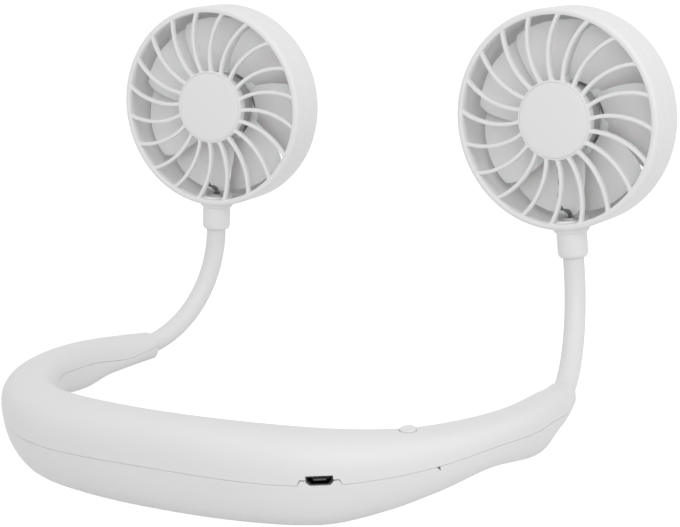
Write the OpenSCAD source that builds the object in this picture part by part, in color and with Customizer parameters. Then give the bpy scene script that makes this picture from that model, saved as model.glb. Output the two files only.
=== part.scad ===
/* [Neckband plan] */
// Radius of the band's centreline at the nape
nape_r = 177; // [150:1:220]
// Turn of the nape stretch on each side
nape_turn = 12.5; // [8:0.5:16]
// Radius of the centreline round each shoulder
side_r = 64.5; // [58:0.5:72]
// Turn of each shoulder stretch
side_turn = 83; // [78:0.5:86]
// Radius of the nearly straight stretch to each tip
fore_r = 285; // [240:5:400]
// Turn of that stretch
fore_turn = 6.5; // [5:0.5:8]

/* [Neckband section] */
// Width of the band at the nape
nape_w = 19.4; // [19:0.2:24]
// Width where the cells lie
shoulder_w = 22.2; // [22:0.2:26]
// Width half way round
mid_w = 18.4; // [17.6:0.2:21]
// Width of the slim fore part
fore_w = 13.2; // [12.4:0.2:15]
// Width of each tip
tip_w = 9.6; // [9.4:0.1:12]
// Height of the top over the table at the nape
nape_top = 29.4; // [28.6:0.2:34]
// Height of the top where the cells lie
shoulder_top = 28; // [27:0.2:32]
// Height of the top half way round
mid_top = 23.6; // [22.8:0.2:26]
// Height of the top on the fore part
fore_top = 18.5; // [17.5:0.5:21]
// Height of the top at each tip
tip_top = 9.7; // [9.6:0.1:12]
// Rise of the arched underside between belly and heel
arch_rise = 6.8; // [4:0.2:8]
// Rise of the underside at the heel under the fore part
heel_rise = 0.8; // [0.4:0.1:1.4]
// Rise of the small hollow just ahead of the heel
hollow_rise = 1.6; // [1:0.1:1.8]
// Rise of the underside where the hose is clamped
clamp_rise = 0.8; // [0.5:0.1:1]
// Squareness of the section, where 2 is an ellipse
squareness = 2.67; // [2.2:0.05:3.2]
// Wall of both shells
wall = 1.8; // [1.4:0.1:2.2]
// Height of the parting line in shares of the section's height
seam_share = 0.57; // [0.45:0.01:0.6]
// Height of the lip that centres the two shells
lip_h = 1; // [0.6:0.1:1.6]

/* [Charging port, button and pry notch] */
// Distance of the charging port from the nape, along the band
port_s = 52; // [48:1:56]
// Height of the port over the parting line
port_rise = 1.6; // [1:0.1:2]
// Width of the socket's metal shell
socket_w = 7.5; // [7.2:0.1:7.8]
// Height of the socket's metal shell
socket_h = 2.5; // [2.4:0.1:2.9]
// Depth of the socket
socket_d = 5.6; // [5:0.1:6.4]
// Distance of the button from the nape, along the band
button_s = 78.2; // [76:0.2:82]
// Distance of the button inward of the centreline
button_in = 1.8; // [0:0.1:2]
// Diameter of the button
button_d = 4.9; // [4.6:0.1:6.2]
// Height that the button stands proud
button_proud = 0.6; // [0.5:0.1:1.4]
// Travel of the button
button_travel = 0.5; // [0.3:0.1:0.6]
// Distance of the pry notch from the nape, along the band
notch_s = 82.4; // [80:0.2:88]
// Width of the pry notch
notch_w = 1.3; // [1:0.1:2.4]

/* [Inside the neckband] */
// Diameter of each cell
cell_d = 14.2; // [13.8:0.1:14.6]
// Length of each cell
cell_l = 41; // [38:1:42]
// Width of the circuit board
board_w = 12; // [11:0.2:12.6]
// Thickness of the circuit board
board_t = 0.8; // [0.6:0.1:1.2]
// Diameter of the shell screws' shanks
screw_d = 2; // [1.8:0.1:2.4]
// Length of the shell screws' shanks
screw_l = 9; // [7:0.5:9.5]

/* [Hoses] */
// Outside diameter of the silicone sleeve
sleeve_d = 7.2; // [6.8:0.1:7.4]
// Outside diameter of the steel hose in the sleeve
core_d = 4.6; // [4.2:0.1:5]
// Bore of the steel hose
core_bore_d = 2.6; // [2.4:0.1:3]
// Height of the hose's line over the table at each tip
hose_rise = 5.1; // [4.8:0.1:5.4]
// Bend radius of each hose as it stands
hose_r = 38.7; // [34:0.1:48]
// Turn of each hose from the tip to the upright stretch
hose_turn = 82; // [70:1:86]
// Length of the upright stretch under the collar
hose_up = 2; // [2:0.1:8]
// Lean of each hose towards the middle
hose_lean = 2.8; // [0:0.1:6]
// Diameter of the two-core motor lead
lead_d = 1.6; // [1.4:0.1:2.2]

/* [Fan heads] */
// Outside diameter of each head
head_d = 75; // [70:1:82]
// Depth of each head from front to back
head_depth = 20; // [19:0.5:26]
// Wall of the head's covers
head_wall = 1.6; // [1.2:0.1:2]
// Turn of each head on its collar, away from square to the hose
head_turn = 15.2; // [0:0.2:30]
// Depth of the joint between the front and the rear cover
split_depth = 8; // [7.6:0.2:10]
// Number of ribs in each grille
rib_count = 20; // [12:1:28]
// Width of a rib
rib_w = 1.35; // [1.1:0.05:1.8]
// Depth of a rib
rib_t = 1.8; // [1.4:0.1:2.2]
// Radius of a rib's curve
rib_bow = 27.5; // [22:0.5:60]
// Turn of a rib between the hub and the rim
rib_shift = 7.2; // [0:0.2:14]
// Diameter of the hub's rim
hub_d = 27; // [26.8:0.1:32]
// Diameter of the hub cap
cap_d = 25.6; // [24:0.2:25.8]
// Diameter of the collar under each head
collar_d = 10.4; // [10:0.1:12]
// Length of the collar that shows
collar_l = 10; // [8:0.5:14]
// Depth of the collar's axis behind the front of the head
collar_depth = 7.6; // [7:0.1:8.4]

/* [Motor and impeller] */
// Outside diameter of the motor can
can_d = 24.4; // [22:0.2:25]
// Length of the motor can
can_l = 9.4; // [8.6:0.1:10]
// Diameter of the motor shaft
shaft_d = 2; // [1.5:0.1:2.4]
// Number of blades
blade_count = 7; // [4:1:8]
// Clearance between the blades' tips and the drum's wall
blade_gap = 2.9; // [2.9:0.1:5.9]
// Width of a blade's chord at its tip
blade_chord = 31.5; // [20:0.5:32]
// Thickness of a blade
blade_t = 1.3; // [1:0.1:1.8]
// Pitch angle of a blade at its tip
blade_pitch = 13; // [8:1:14]

/* [Clearances] */
// Running clearance round the shaft and the hose top
run_gap = 0.04; // [0.02:0.01:0.08]
// Clearance between pieces that are slid together
slip_gap = 0.1; // [0.05:0.01:0.2]
// Clearance round the button
button_gap = 0.15; // [0.1:0.01:0.3]
// Clearance round the hose in the band's tips
hose_gap = 0.15; // [0.1:0.01:0.2]
// Distance by which cuts run past the faces that they open
overrun = 1; // [0.5:0.1:2]

/* [Hidden] */

// Facets of round features, which are rebuilt as true circles
$fn = 64;
left = -1;
right = 1;

// Plan of the band: three arcs on each side of the nape
function arc_l(r, turn) = r * turn * PI / 180;
nape_end = arc_l(nape_r, nape_turn);
side_end = nape_end + arc_l(side_r, side_turn);
half_l = side_end + arc_l(fore_r, fore_turn);
side_head = nape_turn + side_turn;
tip_head = side_head + fore_turn;
side_x = nape_r * sin(nape_turn);
side_y = nape_r * (1 - cos(nape_turn));
fore_x = side_x + side_r * (sin(side_head) - sin(nape_turn));
fore_y = side_y + side_r * (cos(nape_turn) - cos(side_head));
tip_x = fore_x + fore_r * (sin(tip_head) - sin(side_head));
tip_y = fore_y + fore_r * (cos(side_head) - cos(tip_head));

function turned(s, from_s, r) = (s - from_s) / r * 180 / PI;
function half_plan(a) =
    a < nape_end ? let (h = turned(a, 0, nape_r)) [nape_r * sin(h), nape_r * (1 - cos(h)), h] :
    a < side_end ? let (h = nape_turn + turned(a, nape_end, side_r))
        [side_x + side_r * (sin(h) - sin(nape_turn)), side_y + side_r * (cos(nape_turn) - cos(h)), h] :
    let (h = side_head + turned(a, side_end, fore_r))
        [fore_x + fore_r * (sin(h) - sin(side_head)), fore_y + fore_r * (cos(side_head) - cos(h)), h];

// Smooth curve through [share, value] points, level at its start and where it turns
function span(p, i) = p[i + 1][0] - p[i][0];
function rise(p, i) = (p[i + 1][1] - p[i][1]) / span(p, i);
function last_slope(p, n) =
    let (a = rise(p, n - 2), b = rise(p, n - 3), u = span(p, n - 2), v = span(p, n - 3),
         d = ((2 * u + v) * a - u * b) / (u + v)) d * a <= 0 ? 0 : d;
function slope(p, i) =
    i == 0 ? 0 : i == len(p) - 1 ? last_slope(p, len(p)) :
    let (a = rise(p, i - 1), b = rise(p, i)) a * b <= 0 ? 0 : 2 * a * b / (a + b);
function through(p, t) =
    let (i = min(len(p) - 2, max([for (k = [0 : len(p) - 1]) if (t >= p[k][0]) k])),
         w = p[i + 1][0] - p[i][0], x = (t - p[i][0]) / w)
    (2 * x * x * x - 3 * x * x + 1) * p[i][1] + (x * x * x - 2 * x * x + x) * w * slope(p, i)
    + (3 * x * x - 2 * x * x * x) * p[i + 1][1] + (x * x * x - x * x) * w * slope(p, i + 1);

// Places along half of the band, in shares of its length, chosen by eye
size_shares = [0, 0.25, 0.5, 0.75, 1];
under_shares = [0, 0.3, 0.42, 0.5, 0.6, 0.79, 0.85, 0.915, 1];
arch_shares = [0.34, 0.68];
clamp_shares = [0.86, 0.93];
seam_fall_shares = [[0, 0], [0.78, 0], [0.86, 0.5], [0.93, 1], [1.01, 1]];
// Depth by which the rounded underside would pass the table, cut off flat
belly_flat = 0.35;
widths = [nape_w, shoulder_w, mid_w, fore_w, tip_w];
tops = [nape_top, shoulder_top, mid_top, fore_top, tip_top];
unders = [-belly_flat, -belly_flat, arch_rise * arch_shares[0], arch_rise * arch_shares[1],
    arch_rise, heel_rise, hollow_rise, clamp_rise, -belly_flat];
function paired(a, b) = [for (i = [0 : len(a) - 1]) [a[i], b[i]]];
function half_w(t) = through(paired(size_shares, widths), t) / 2;
function top_z(t) = through(paired(size_shares, tops), t);
function under_z(t) = through(paired(under_shares, unders), t);
function clamped(t) = through([[0, 0], [clamp_shares[0], 0], [clamp_shares[1], 1], [1.01, 1]], t);

// The hose leaves each tip on the parting line
hose_hole_r = sleeve_d / 2 + hose_gap;
hose_z = hose_rise;
function seam_z(t) =
    let (fall = through(seam_fall_shares, t))
    (1 - fall) * (under_z(t) + seam_share * (top_z(t) - under_z(t))) + fall * hose_z;
function share(s) = min(1, abs(s) / half_l);

// The whole is centred on the table under it
hose_arc_l = arc_l(hose_r, hose_turn);
head_reach = collar_l + head_d / 2;
back_round = 5;

// Turns of a point about the three axes
function about_x(p, a) = [p[0], p[1] * cos(a) - p[2] * sin(a), p[1] * sin(a) + p[2] * cos(a)];
function about_y(p, a) = [p[0] * cos(a) + p[2] * sin(a), p[1], p[2] * cos(a) - p[0] * sin(a)];
function about_z(p, a) = [p[0] * cos(a) - p[1] * sin(a), p[0] * sin(a) + p[1] * cos(a), p[2]];
// A point in a head's frame, whose face looks along +Z with the collar towards -Y, on the right arm
function head_to_arm(p) =
    about_y(about_z(about_x(p, 90) + [0, -collar_depth, head_reach], -90 - head_turn)
        + [0, 0, hose_up], 90 - hose_turn)
    + [hose_r * sin(hose_turn), 0, hose_r * (1 - cos(hose_turn))];
function arm_to_plan(p) = about_z(about_x(p, -hose_lean), tip_head) + [tip_x, tip_y, hose_z];
// How far the rounded back edge of a head reaches beyond the nape's centreline
back_ring_r = head_d / 2 - back_round;
back_reach = max([for (a = [0 : 5 : 355])
    arm_to_plan(head_to_arm([back_ring_r * cos(a), back_ring_r * sin(a), back_round - head_depth]))[1]])
    + back_round;
nape_y = nape_w / 2 - (back_reach + nape_w / 2) / 2;

function plan_at(s) = let (p = half_plan(min(abs(s), half_l)), k = s < 0 ? -1 : 1)
    [k * p[0], nape_y + p[1], k * p[2]];
function on_band(s, u, z) = let (p = plan_at(s)) [p[0] + u * sin(p[2]), p[1] - u * cos(p[2]), z];
function flipped(p, side) = [side * p[0], p[1], p[2]];
function arm_point(p, side) = flipped(arm_to_plan(p) + [0, nape_y, 0], side);
function head_point(p, side) = arm_point(head_to_arm(flipped(p, side)), side);

// Frames: at a station of the band, along an arm, and at a head
module at_station(s) {
    p = plan_at(s);
    translate([p[0], p[1], 0]) rotate([0, 0, p[2] - 90]) children();
}
module on_side(side) {
    if (side == right) children();
    else mirror([1, 0, 0]) children();
}
module in_arm(side) {
    on_side(side) translate([tip_x, nape_y + tip_y, hose_z]) rotate([0, 0, tip_head])
        rotate([-hose_lean, 0, 0]) children();
}
module in_head(side) {
    in_arm(side) translate([hose_r * sin(hose_turn), 0, hose_r * (1 - cos(hose_turn))])
        rotate([0, 90 - hose_turn, 0]) translate([0, 0, hose_up]) rotate([0, 0, -90 - head_turn])
        translate([0, -collar_depth, head_reach]) rotate([90, 0, 0]) on_side(side) children();
}

// Swept solids: rings of points with the same count, joined by triangles and closed at both ends
module swept(rings) {
    n = len(rings[0]);
    m = len(rings);
    polyhedron(
        points = [for (r = rings) each r],
        faces = concat(
            [for (i = [0 : m - 2]) for (j = [0 : n - 1]) let (k = (j + 1) % n) each
                [[i * n + j, i * n + n + j, i * n + n + k], [i * n + j, i * n + n + k, i * n + k]]],
            [[for (j = [0 : n - 1]) j]], [[for (j = [n - 1 : -1 : 0]) (m - 1) * n + j]]));
}

// Section of the band: an oval whose two halves meet at the widest line, and its hollow
oval_steps = 12;
tip_squareness = 2.2;
function oval(w, h, n, a) =
    [w * sign(cos(a)) * pow(abs(cos(a)), 2 / n), h * pow(abs(sin(a)), 2 / n)];
function roundness(t) = squareness - clamped(t) * (squareness - tip_squareness);
function hollow_w(t) = (1 - clamped(t)) * (half_w(t) - wall) + clamped(t) * hose_hole_r;
function hollow_h(t, h) = (1 - clamped(t)) * (h - wall) + clamped(t) * hose_hole_r;
function hollow_n(t) = squareness - clamped(t) * (squareness - 2);
function angle_at(v, h, n) = asin(pow(max(0, v) / h, n / 2));

// The parting line steps up round the charging port, on the outside of the right half only
port_step_w = 9.8;
port_slant = 0.8;
function port_lift(s) = port_rise * max(0, min(1, ((port_step_w + port_slant) / 2 - abs(s - port_s))
    / port_slant + 0.5));

lip_share = 0.5;
function upper_ring(s) =
    let (t = share(s), w = half_w(t), zs = seam_z(t), h = top_z(t) - zs, n = roundness(t),
         wi = hollow_w(t), hi = hollow_h(t, h), ni = hollow_n(t), lift = port_lift(s),
         a0 = angle_at(lift, h, n), lip = lip_h + slip_gap,
         a1 = angle_at(lip + lift, hi, ni), a2 = angle_at(lip, hi, ni),
         ul = w - (w - wi) * lip_share + slip_gap / 2,
         pts = concat(
            [for (k = [0 : oval_steps]) oval(w, h, n, a0 + (180 - a0) * k / oval_steps)],
            [[-ul, 0], [-ul, lip]],
            [for (k = [oval_steps : -1 : 0]) oval(wi, hi, ni, a1 + (180 - a2 - a1) * k / oval_steps)],
            [[ul, lip + lift], [ul, lift]]))
    [for (p = pts) on_band(s, p[0], zs + p[1])];
function lower_ring(s) =
    let (t = share(s), w = half_w(t), zs = seam_z(t), h = zs - under_z(t), n = roundness(t),
         wi = hollow_w(t), hi = hollow_h(t, h), ni = hollow_n(t), lift = port_lift(s),
         ul = w - (w - wi) * lip_share - slip_gap / 2,
         pts = concat(
            [for (k = [0 : oval_steps]) let (p = oval(w, h, n, 180 * k / oval_steps))
                [p[0], k == 0 ? lift : -p[1]]],
            [[-ul, 0], [-ul, lip_h], [-wi + lip_lean, lip_h]],
            [for (k = [oval_steps : -1 : 0]) let (p = oval(wi, hi, ni, 180 * k / oval_steps))
                [p[0], k == 0 ? 0 : -p[1]]],
            [[wi - lip_lean, lip_h + lift], [ul, lip_h + lift], [ul, lift]]))
    [for (p = pts) on_band(s, p[0], zs + p[1])];
// Draft of the lip's inner face
lip_lean = 0.15;

// Stations: evenly spaced, and close together where the parting line steps
half_steps = 30;
function even(a, b, n) = [for (k = [0 : n - 1]) a + (b - a) * k / n];
port_a = port_s - port_step_w / 2 - port_slant;
port_b = port_s + port_step_w / 2 + port_slant;
stations = concat(
    even(-half_l, 0, half_steps),
    even(0, port_a, floor(half_steps * port_a / half_l)),
    [port_a, port_a + port_slant], even(port_a + 2 * port_slant, port_b - 2 * port_slant, 3),
    [port_b - 2 * port_slant, port_b - port_slant],
    even(port_b, half_l, floor(half_steps * (1 - port_b / half_l))), [half_l]);

// Screws: places along the band in shares of its half, and heights off the parting line
screw_shares = [0, 0.572, -0.572, 0.706, -0.706];
screw_places = [for (q = screw_shares) q * half_l];
screw_seat = 4.5;
screw_head_d = 3.8;
screw_head_h = 1.5;
boss_wall = 1.5;
screw_hole_gap = 0.15;
boss_r = screw_d / 2 + boss_wall;
low_boss_r = screw_head_d / 2 + boss_wall / 2;

// Depth of the pry notch in the wall
notch_depth_share = 0.8;

// Charging port
port_z = seam_z(share(port_s)) + port_rise;
port_gap = 0.25;
port_taper = 1;
socket_inset = 0.5;
module port_shape(grow) {
    w = socket_w / 2 + grow;
    h = socket_h / 2 + grow;
    polygon([[-w, h], [w, h], [w, -h + port_taper], [w - port_taper, -h], [port_taper - w, -h],
        [-w, -h + port_taper]]);
}
// Extrudes a shape outward from the band's centreline, with its height along Z
module outward(s, z, from_u, to_u) {
    at_station(s) translate([from_u, 0, z]) rotate([90, 0, 90]) linear_extrude(to_u - from_u) children();
}
port_mouth_u = half_w(share(port_s)) - socket_inset;

// Button
button_top_z = top_z(share(button_s));
flange_r = 3.3;
flange_t = 0.6;
flange_drop = 3.3;
flange_z = button_top_z - flange_drop - flange_t;
stem_r = 0.9;
stem_l = 1;

module upper_shell() {
    color("whitesmoke") difference() {
        union() {
            swept([for (s = stations) reversed(upper_ring(s))]);
            for (s = screw_places) at_station(s) {
                t = share(s);
                translate([0, 0, seam_z(t) + slip_gap])
                    cylinder(r = boss_r, h = top_z(t) - seam_z(t) - slip_gap - wall / 2);
            }
        }
        for (s = screw_places) at_station(s) translate([0, 0, seam_z(share(s)) - overrun])
            cylinder(r = screw_d / 2, h = screw_l - screw_seat + overrun + slip_gap);
        outward(port_s, port_z, half_w(share(port_s)) - 2 * wall, half_w(share(port_s)) + overrun)
            port_shape(port_gap);
        at_station(button_s) translate([-button_in, 0, flange_z])
            cylinder(r = button_d / 2 + button_gap, h = flange_drop + button_proud + wall + overrun);
    }
}

module lower_shell() {
    color("whitesmoke") difference() {
        union() {
            swept([for (s = stations) lower_ring(s)]);
            for (s = screw_places) at_station(s) {
                t = share(s);
                translate([0, 0, max(0, under_z(t)) + wall / 2])
                    cylinder(r = low_boss_r, h = seam_z(t) - max(0, under_z(t)) - wall / 2);
            }
            for (p = board_posts) at_station(p[0]) translate([p[1], 0, 0]) {
                floor_z = max(0, under_z(share(p[0]))) + wall / 2;
                translate([0, 0, floor_z]) cylinder(r = post_r + post_step, h = board_z - floor_z);
                translate([0, 0, floor_z]) cylinder(r = post_r, h = board_z + board_t + post_tail - floor_z);
            }
        }
        for (s = screw_places) at_station(s) {
            seat = seam_z(share(s)) - screw_seat;
            translate([0, 0, -overrun]) cylinder(r = screw_d / 2 + screw_hole_gap, h = seat + 2 * screw_seat);
            translate([0, 0, -overrun]) cylinder(r = screw_head_d / 2 + slip_gap, h = seat + overrun);
        }
        outward(port_s, port_z, half_w(share(port_s)) - 2 * wall, half_w(share(port_s)) + overrun)
            port_shape(port_gap);
        outward(notch_s, seam_z(share(notch_s)), half_w(share(notch_s)) - wall * notch_depth_share,
            half_w(share(notch_s)) + overrun)
            polygon([[-notch_w / 2, slip_gap], [notch_w / 2, slip_gap], [notch_w / 2, -notch_w]]);
        translate([-half_l, -half_l, -half_l]) cube([2 * half_l, 2 * half_l, half_l]);
    }
}
function reversed(a) = [for (i = [len(a) - 1 : -1 : 0]) a[i]];

// Circuit board, on two posts in the lower shell, with an ear that carries the socket
board_z = port_z - socket_h / 2 - board_t;
board_before_port = 5.5;
board_past_button = 10;
board_from_s = port_s - board_before_port;
board_to_s = button_s + board_past_button;
ear_l = 11;
ear_out = 8.4;
function side_heading(s) = nape_turn + turned(s, nape_end, side_r);
post_r = 1.1;
post_tail = 0.6;
post_step = 0.8;
post_past_port = 9;
post_past_button = 6.5;
post_u = 2.5;
far_post_u = 3;
board_posts = [[port_s + post_past_port, post_u], [button_s + post_past_button, far_post_u]];

module along_side(from_s, to_s, u, w, z, h) {
    translate([side_x - side_r * sin(nape_turn), nape_y + side_y + side_r * cos(nape_turn), z])
        rotate([0, 0, side_heading(from_s) - 90])
        rotate_extrude(angle = side_heading(to_s) - side_heading(from_s))
        translate([side_r + u - w / 2, 0]) square([w, h]);
}
module circuit_board() {
    color("seagreen") difference() {
        union() {
            along_side(board_from_s, board_to_s, 0, board_w, board_z, board_t);
            along_side(board_from_s, board_from_s + ear_l, ear_out / 2, ear_out, board_z, board_t);
        }
        for (p = board_posts) at_station(p[0]) translate([p[1], 0, board_z - overrun])
            cylinder(r = post_r + slip_gap, h = board_t + 2 * overrun);
    }
}

// Parts soldered to the board: charge and drive chips, a coil, a status light and two lead sockets
chip = [5, 5, 1.2];
small_chip = [3, 3, 1];
light = [1.6, 0.8, 0.6];
coil_d = 5;
coil_h = 2.4;
plug = [4, 4.6, 3];
cell_plug = [4, 4.6, 2.6];
cell_plug_in = 1;
module standing(s, u, size) {
    at_station(s) translate([u - size[0] / 2, -size[1] / 2, board_z + board_t]) cube(size);
}
chip_past_port = 15;
coil_past_port = 20.6;
small_chip_past_port = 9;
light_before_button = 5;
plug_past_button = 6;
plug_before_port = 2.6;
chip_s = port_s + chip_past_port;
coil_s = port_s + coil_past_port;
small_chip_s = port_s + small_chip_past_port;
light_s = button_s - light_before_button;
plug_right_s = button_s + plug_past_button;
plug_left_s = port_s - plug_before_port;
plug_in = 3.5;
module board_parts() {
    color("dimgray") {
        standing(chip_s, 0, chip);
        standing(small_chip_s, -plug_in, small_chip);
        at_station(coil_s) translate([0, 0, board_z + board_t]) cylinder(d = coil_d, h = coil_h);
        standing(light_s, plug_in, light);
        standing(plug_right_s, -plug_in, plug);
        standing(plug_left_s, -plug_in, plug);
        standing(plug_left_s, cell_plug_in, cell_plug);
    }
}

// Charging socket: a folded metal shell round a plastic tongue with contacts
socket_metal = 0.25;
tongue_t = 0.6;
tongue_gap = 0.7;
module charging_socket() {
    color("silver") difference() {
        outward(port_s, port_z, port_mouth_u - socket_d, port_mouth_u) port_shape(0);
        outward(port_s, port_z, port_mouth_u - socket_d + socket_metal, port_mouth_u + overrun)
            port_shape(-socket_metal);
    }
}
module socket_tongue() {
    color("black") {
        outward(port_s, port_z, port_mouth_u - socket_d + socket_metal, port_mouth_u - socket_d / 2)
            offset_box(socket_w / 2 - socket_metal - port_taper, socket_h / 2 - socket_metal - slip_gap);
        outward(port_s, port_z, port_mouth_u - socket_d / 2, port_mouth_u - tongue_gap)
            offset_box(socket_w / 4, tongue_t / 2);
    }
}
module offset_box(w, h) {
    translate([-w, -h]) square([2 * w, 2 * h]);
}

// Two round cells end to end along the nape, and their leads to the board
cell_gap = 3.4;
cell_z = wall + cell_d / 2 + slip_gap * 3;
cell_cap_d = 9;
cell_cap_h = 0.8;
module cell(from_s, to_s) {
    a = on_band(from_s, 0, 0);
    b = on_band(to_s, 0, 0);
    bow = on_band((from_s + to_s) / 2, 0, 0) - (a + b) / 2;
    translate((a + b) / 2 + bow / 2 + [0, 0, cell_z])
        rotate([0, 0, atan2(b[1] - a[1], b[0] - a[0])]) rotate([0, 90, 0]) {
        translate([0, 0, -cell_l / 2]) cylinder(d = cell_d, h = cell_l);
        translate([0, 0, cell_l / 2]) cylinder(d = cell_cap_d, h = cell_cap_h);
    }
}
module cell_left() {
    color("steelblue") cell(-cell_gap, -cell_gap - cell_l);
}
module cell_right() {
    color("steelblue") cell(cell_gap, cell_gap + cell_l);
}

// A tube swept along points, each ring square to the route
tube_sides = 8;
function unit(v) = v / norm(v);
function course(p) = [for (i = [0 : len(p) - 1])
    unit(p[min(i + 1, len(p) - 1)] - p[max(i - 1, 0)])];
function square_to(n, t) = unit(n - (n * t) * t);
function carried(ts, i, n) = i == len(ts) ? [] :
    let (m = square_to(n, ts[i])) concat([m], carried(ts, i + 1, m));
module tube(p, r) {
    ts = course(p);
    ns = carried(ts, 0, [0.1, 0.2, 1]);
    swept([for (i = [0 : len(p) - 1]) let (b = cross(ts[i], ns[i]))
        [for (k = [0 : tube_sides - 1]) let (a = 360 * k / tube_sides)
            p[i] + r * (ns[i] * cos(a) + b * sin(a))]]);
}
// Rounds the corners of a coarse route
function eased(p) = concat([p[0]], [for (i = [0 : len(p) - 2]) each
    [p[i] * 0.75 + p[i + 1] * 0.25, p[i] * 0.25 + p[i + 1] * 0.75]], [p[len(p) - 1]]);

cell_lead_d = 1.2;
cell_lead_gap = 1.4;
over_cells = cell_z + cell_d / 2 + cell_lead_d / 2 + slip_gap;
module cell_leads() {
    z = board_z + board_t + cell_plug[2] / 2;
    color("firebrick") for (k = [-1, 1]) {
        u = cell_plug_in + k * cell_lead_gap / 2;
        tube(eased(eased([
            on_band(cell_gap + cell_l / 2, u, over_cells), on_band(cell_gap + cell_l * 0.8, u, over_cells),
            on_band(board_from_s - cell_lead_d, u, z), on_band(plug_left_s - cell_plug[1] / 2, u, z)])),
            cell_lead_d / 2);
    }
}

// Tact switch under the button, which its stem presses
switch_w = 4.6;
switch_h = flange_z - stem_l / 2 - slip_gap - board_z - board_t;
module power_switch() {
    color("black") at_station(button_s) translate([-button_in, 0, board_z + board_t]) difference() {
        translate([-switch_w / 2, -switch_w / 2, 0]) cube([switch_w, switch_w, switch_h]);
        translate([0, 0, switch_h - stem_l / 2 - button_travel - slip_gap])
            cylinder(r = stem_r + slip_gap, h = stem_l + button_travel);
    }
}
module power_button() {
    color("white") at_station(button_s) translate([-button_in, 0, flange_z]) {
        cylinder(r = flange_r, h = flange_t);
        cylinder(d = button_d, h = button_top_z + button_proud - flange_z);
        translate([0, 0, -stem_l]) cylinder(r = stem_r, h = stem_l);
    }
}
module shell_screws() {
    color("silver") for (s = screw_places) at_station(s)
        translate([0, 0, seam_z(share(s)) - screw_seat]) difference() {
            union() {
                cylinder(d = screw_d, h = screw_l);
                translate([0, 0, -screw_head_h]) cylinder(d = screw_head_d, h = screw_head_h);
            }
            cross_slot();
        }
}
slot_w = 0.5;
slot_l = 2.2;
slot_depth = 0.8;
module cross_slot() {
    translate([0, 0, -screw_head_h - overrun]) for (a = [0, 90]) rotate([0, 0, a])
        translate([-slot_l / 2, -slot_w / 2, 0]) cube([slot_l, slot_w, slot_depth + overrun]);
}

// Hose: bend places along its line, measured from the tip of the band
bend_first = 7;
bend_step = 13.5;
bend_places = [for (i = [0 : 3]) bend_first + i * bend_step];
link_gap = 1.2;
hose_in_tip = 8.6;
sleeve_in_tip = 4.6;
anchor_l = 3.4;
anchor_gap = 0.3;
anchor_d = 2 * (hose_hole_r - anchor_gap);
sleeve_in_collar = 2;
sleeve_end_gap = 0.3;
hose_l = hose_arc_l + hose_up;
ferrule_d = 6;
ferrule_flange_d = 8.2;
ferrule_flange_t = 0.7;
collar_flange_d = 12.4;
collar_flange_t = 0.8;
collar_flange_in = 2.2;
collar_flange_seat = head_d / 2 - collar_flange_in;
flange_seat = collar_flange_seat - collar_flange_t - run_gap;

// A rod along the hose's line between two distances from the tip, and a pipe made of two
module ring(ro, ri) {
    difference() {
        circle(r = ro);
        circle(r = ri);
    }
}
module at_hose_top() {
    translate([hose_r * sin(hose_turn), 0, hose_r * (1 - cos(hose_turn))])
        rotate([0, 90 - hose_turn, 0]) children();
}
module rod(from_s, to_s, r) {
    a = max(0, from_s);
    b = min(hose_arc_l, to_s);
    if (from_s < 0) translate([from_s, 0, 0]) rotate([0, 90, 0])
        cylinder(r = r, h = min(0, to_s) - from_s);
    if (a < b) translate([0, 0, hose_r]) rotate([90, 0, 0]) rotate([0, 0, turned(a, 0, hose_r) - 90])
        rotate_extrude(angle = turned(b - a, 0, hose_r)) translate([hose_r, 0]) circle(r = r);
    if (to_s > hose_arc_l) at_hose_top() translate([0, 0, -rod_lap])
        cylinder(r = r + rod_step, h = to_s - hose_arc_l + rod_lap);
}
// The upright stretch laps over the end of the bend and is a trace thicker
rod_lap = 0.4;
rod_step = 0.04;
module along_hose(from_s, to_s, ro, ri) {
    difference() {
        rod(from_s, to_s, ro);
        rod(from_s - overrun, to_s + overrun, ri);
    }
}
module hose_core(side, from_s, to_s) {
    color("silver") in_arm(side) along_hose(from_s, to_s, core_d / 2, core_bore_d / 2);
}
module hose_sleeve(side) {
    color("whitesmoke") in_arm(side)
        along_hose(-sleeve_in_tip, hose_l + sleeve_in_collar - sleeve_end_gap, sleeve_d / 2,
            core_d / 2 + slip_gap / 2);
}
module hose_anchor(side) {
    color("goldenrod") in_arm(side)
        along_hose(-sleeve_in_tip - slip_gap - anchor_l, -sleeve_in_tip - slip_gap, anchor_d / 2,
            core_d / 2);
}
module hose_link(side, i) {
    hose_core(side, bend_places[i - 1] + link_gap, bend_places[i] - link_gap);
}
// The top of the hose carries a ferrule that turns in the collar
ferrule_from = hose_l + sleeve_in_collar;
ferrule_to = hose_l + head_reach - flange_seat;
module hose_top(side) {
    color("silver") in_arm(side) difference() {
        union() {
            rod(bend_places[3] + link_gap, ferrule_to, core_d / 2);
            at_hose_top() translate([0, 0, ferrule_from - hose_arc_l])
                cylinder(d = ferrule_d, h = ferrule_to - ferrule_from);
            at_hose_top() translate([0, 0, ferrule_to - hose_arc_l])
                cylinder(d = ferrule_flange_d, h = ferrule_flange_t);
        }
        rod(bend_places[3] + link_gap - overrun, ferrule_to + ferrule_flange_t + overrun, core_bore_d / 2);
    }
}

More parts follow.
